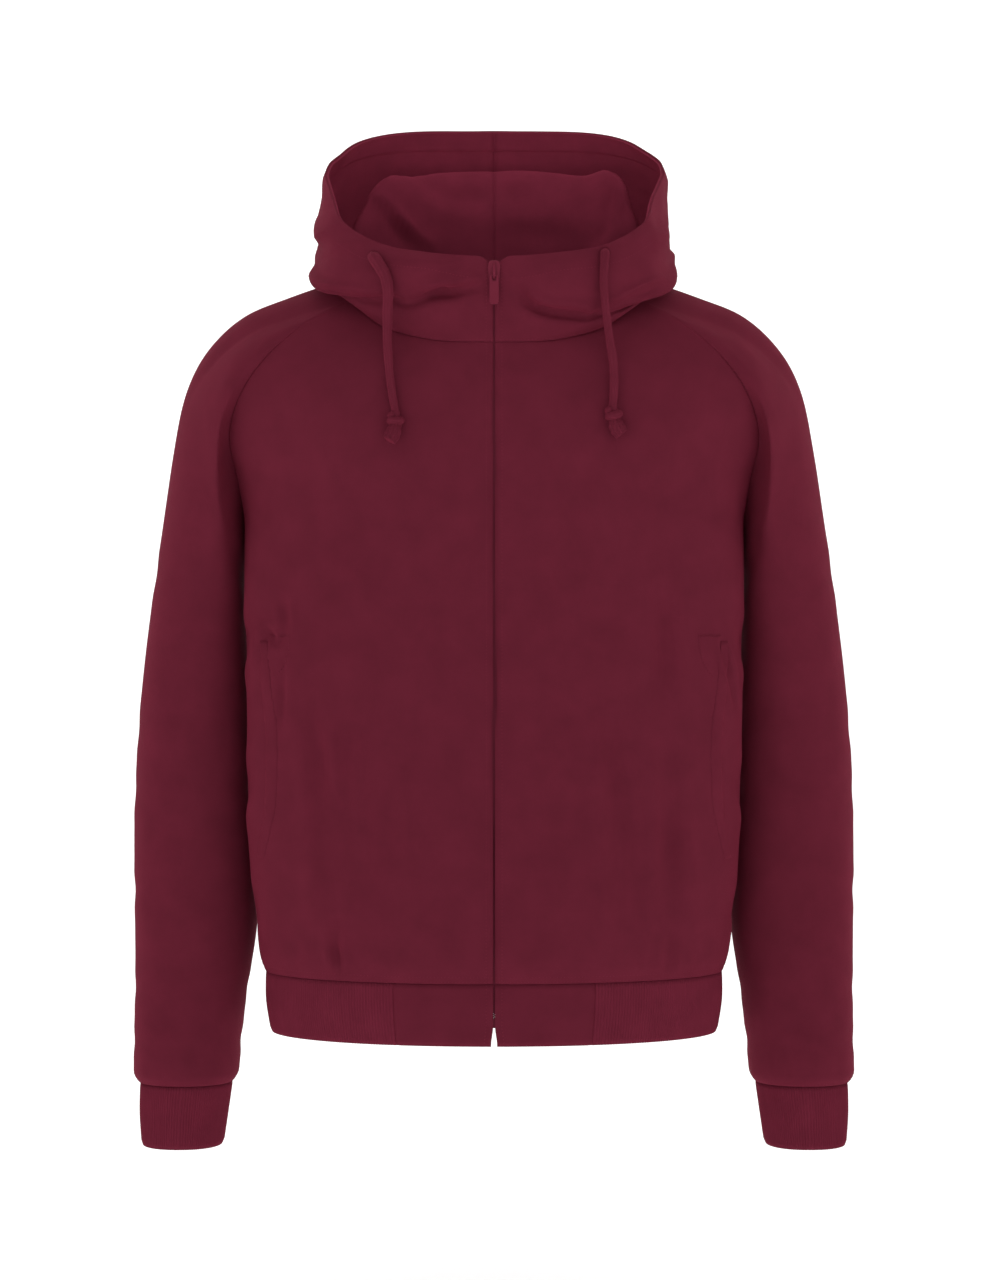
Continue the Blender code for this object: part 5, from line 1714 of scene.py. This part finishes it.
def make_pocket(side, name, front_name):
    outer, normals = outers[front_name]
    curve = along(WELT_RIGHT)
    shares = np.linspace(0, 1, WELT_STEPS)
    grid = []
    for across_share, lift in WELT_PROFILE:
        line = []
        for share in shares:
            x, z = curve(share)
            taper = 0.35 + 0.65 * math.sin(math.pi * min(max(share, 0.03), 0.97)) ** 0.35
            line.append((side * (x + mix(*WELT_EDGES, across_share) * taper), z))
        strip, ways = surface_strip(outer, normals, line, lift)
        grid.append(strip)
    grid = np.array(grid)
    inner = grid - surface_strip(outer, normals, line, 0.0)[1][None] * 0.0014
    made = cloth_piece(name, "fleece", grid, inner, fleece, flip=-side)
    turn = along(POCKET_TURN)
    line = [(side * turn(share)[0], turn(share)[1]) for share in np.linspace(0, 1, 24)]
    stitch_line(*surface_strip(outer, normals, line, 0.0003))
    for row in (0.0, 0.0016):
        line = [(side * mix(*BARTACK[:2], t), BARTACK[2] + row) for t in np.linspace(0, 1, 14)]
        stitch_line(*surface_strip(outer, normals, line, 0.0003), pitch=0.0016, length=0.0015)


make_pocket(1, "pocket_welt_left", "front_left")
make_pocket(-1, "pocket_welt_right", "front_right")

# ---------------------------------------------------------------- sewing lines

TWIN_ROWS = (0.0022, 0.0072)
RAGLAN_ROW = (0.0020,)
CUFF_ROW = (0.0022,)
HOOD_HEM_ROW = (0.0200,)
BESIDE_ZIP = ("first", (0.0062,))
UPPER_SEAM = slice(FINER * (LOWER_ROWS - 1), None)
PAST_ZIP = slice(6, None)
SEWN = (
    # pieces, then for each line its side of the piece, its distances from that edge and its part
    (("front_left", "front_right"), ("low", TWIN_ROWS), BESIDE_ZIP, ("last", RAGLAN_ROW, UPPER_SEAM)),
    (("back",), ("low", TWIN_ROWS), ("first", RAGLAN_ROW, UPPER_SEAM), ("last", RAGLAN_ROW, UPPER_SEAM)),
    (("sleeve_left", "sleeve_right"), ("high", CUFF_ROW), ("low", CUFF_ROW)),
    (("hood_left", "hood_right"), ("low", RAGLAN_ROW), ("high", HOOD_HEM_ROW, PAST_ZIP), BESIDE_ZIP),
    (("hem_insert_left", "hem_insert_right"), BESIDE_ZIP),
)
for names, *lines in SEWN:
    for name in names:
        for line in lines:
            sew(name, *line)

stitches = mesh_object("stitches", stitch_points, stitch_faces, None, thread)
finished(stitches, "fleece")

# ---------------------------------------------------------------- studio

FLOOR = -0.900
FLOOR_FRONT = -6.0
CURVE_START = 1.2
CURVE_RADIUS = 1.4
CURVE_STEPS = 16
WALL_TOP = 5.0
HALF_STUDIO = 7.0
LIGHTS = (
    # name, place, point that it faces, size, power
    ("front", (0.0, -2.7, -0.2), (0.0, 0.0, -0.30), (5.6, 2.4), 205.0),
    ("above left", (-0.9, -2.2, 2.0), (0.0, 0.0, 0.0), (1.6, 1.2), 10.0),
    ("above right", (0.9, -2.2, 2.0), (0.0, 0.0, 0.0), (1.6, 1.2), 10.0),
    ("inside the hood", (0.0, 0.158, -0.010), (0.0, 0.150, 0.20), (0.20, 0.02), 0.09),
)
WORLD_STRENGTH = 0.66


def make_backdrop():
    """A pale floor that curves up into a wall."""
    points = []
    faces = []
    profile = [(FLOOR_FRONT, FLOOR), (CURVE_START, FLOOR)]
    for k in range(1, CURVE_STEPS + 1):
        angle = math.pi / 2 * k / CURVE_STEPS
        rise = CURVE_RADIUS * (1 - math.cos(angle))
        profile.append((CURVE_START + CURVE_RADIUS * math.sin(angle), FLOOR + rise))
    profile.append((2.6, WALL_TOP))
    for y, z in profile:
        points.append((-HALF_STUDIO, y, z))
        points.append((HALF_STUDIO, y, z))
    for k in range(len(profile) - 1):
        faces.append((2 * k, 2 * k + 1, 2 * k + 3, 2 * k + 2))
    settings = {
        "Base Color": (0.93, 0.93, 0.93, 1.0),
        "Roughness": 1.0,
        "Emission Color": (1.0, 1.0, 1.0, 1.0),
        "Emission Strength": 0.45,
    }
    backdrop = mesh_object("backdrop", points, faces, None, new_material("studio", settings)[0])


def add_light(name, place, target, size, power):
    light = bpy.data.lights.new(name, "AREA")
    light.shape = "RECTANGLE"
    light.size, light.size_y = size
    light.energy = power
    made = bpy.data.objects.new(name, light)
    made.location = place
    way = np.array(target) - np.array(place)
    made.rotation_euler = (
        math.atan2(math.hypot(way[0], way[1]), -way[2]),
        0.0,
        math.atan2(way[0], -way[1]) if abs(way[0]) + abs(way[1]) > 1e-6 else 0.0,
    )
    bpy.context.scene.collection.objects.link(made)


make_backdrop()
world = bpy.data.worlds.new("studio")
world.use_nodes = True
world.node_tree.nodes["Background"].inputs[0].default_value = (1.0, 1.0, 1.0, 1.0)
world.node_tree.nodes["Background"].inputs[1].default_value = WORLD_STRENGTH
bpy.context.scene.world = world
for light_row in LIGHTS:
    add_light(*light_row)
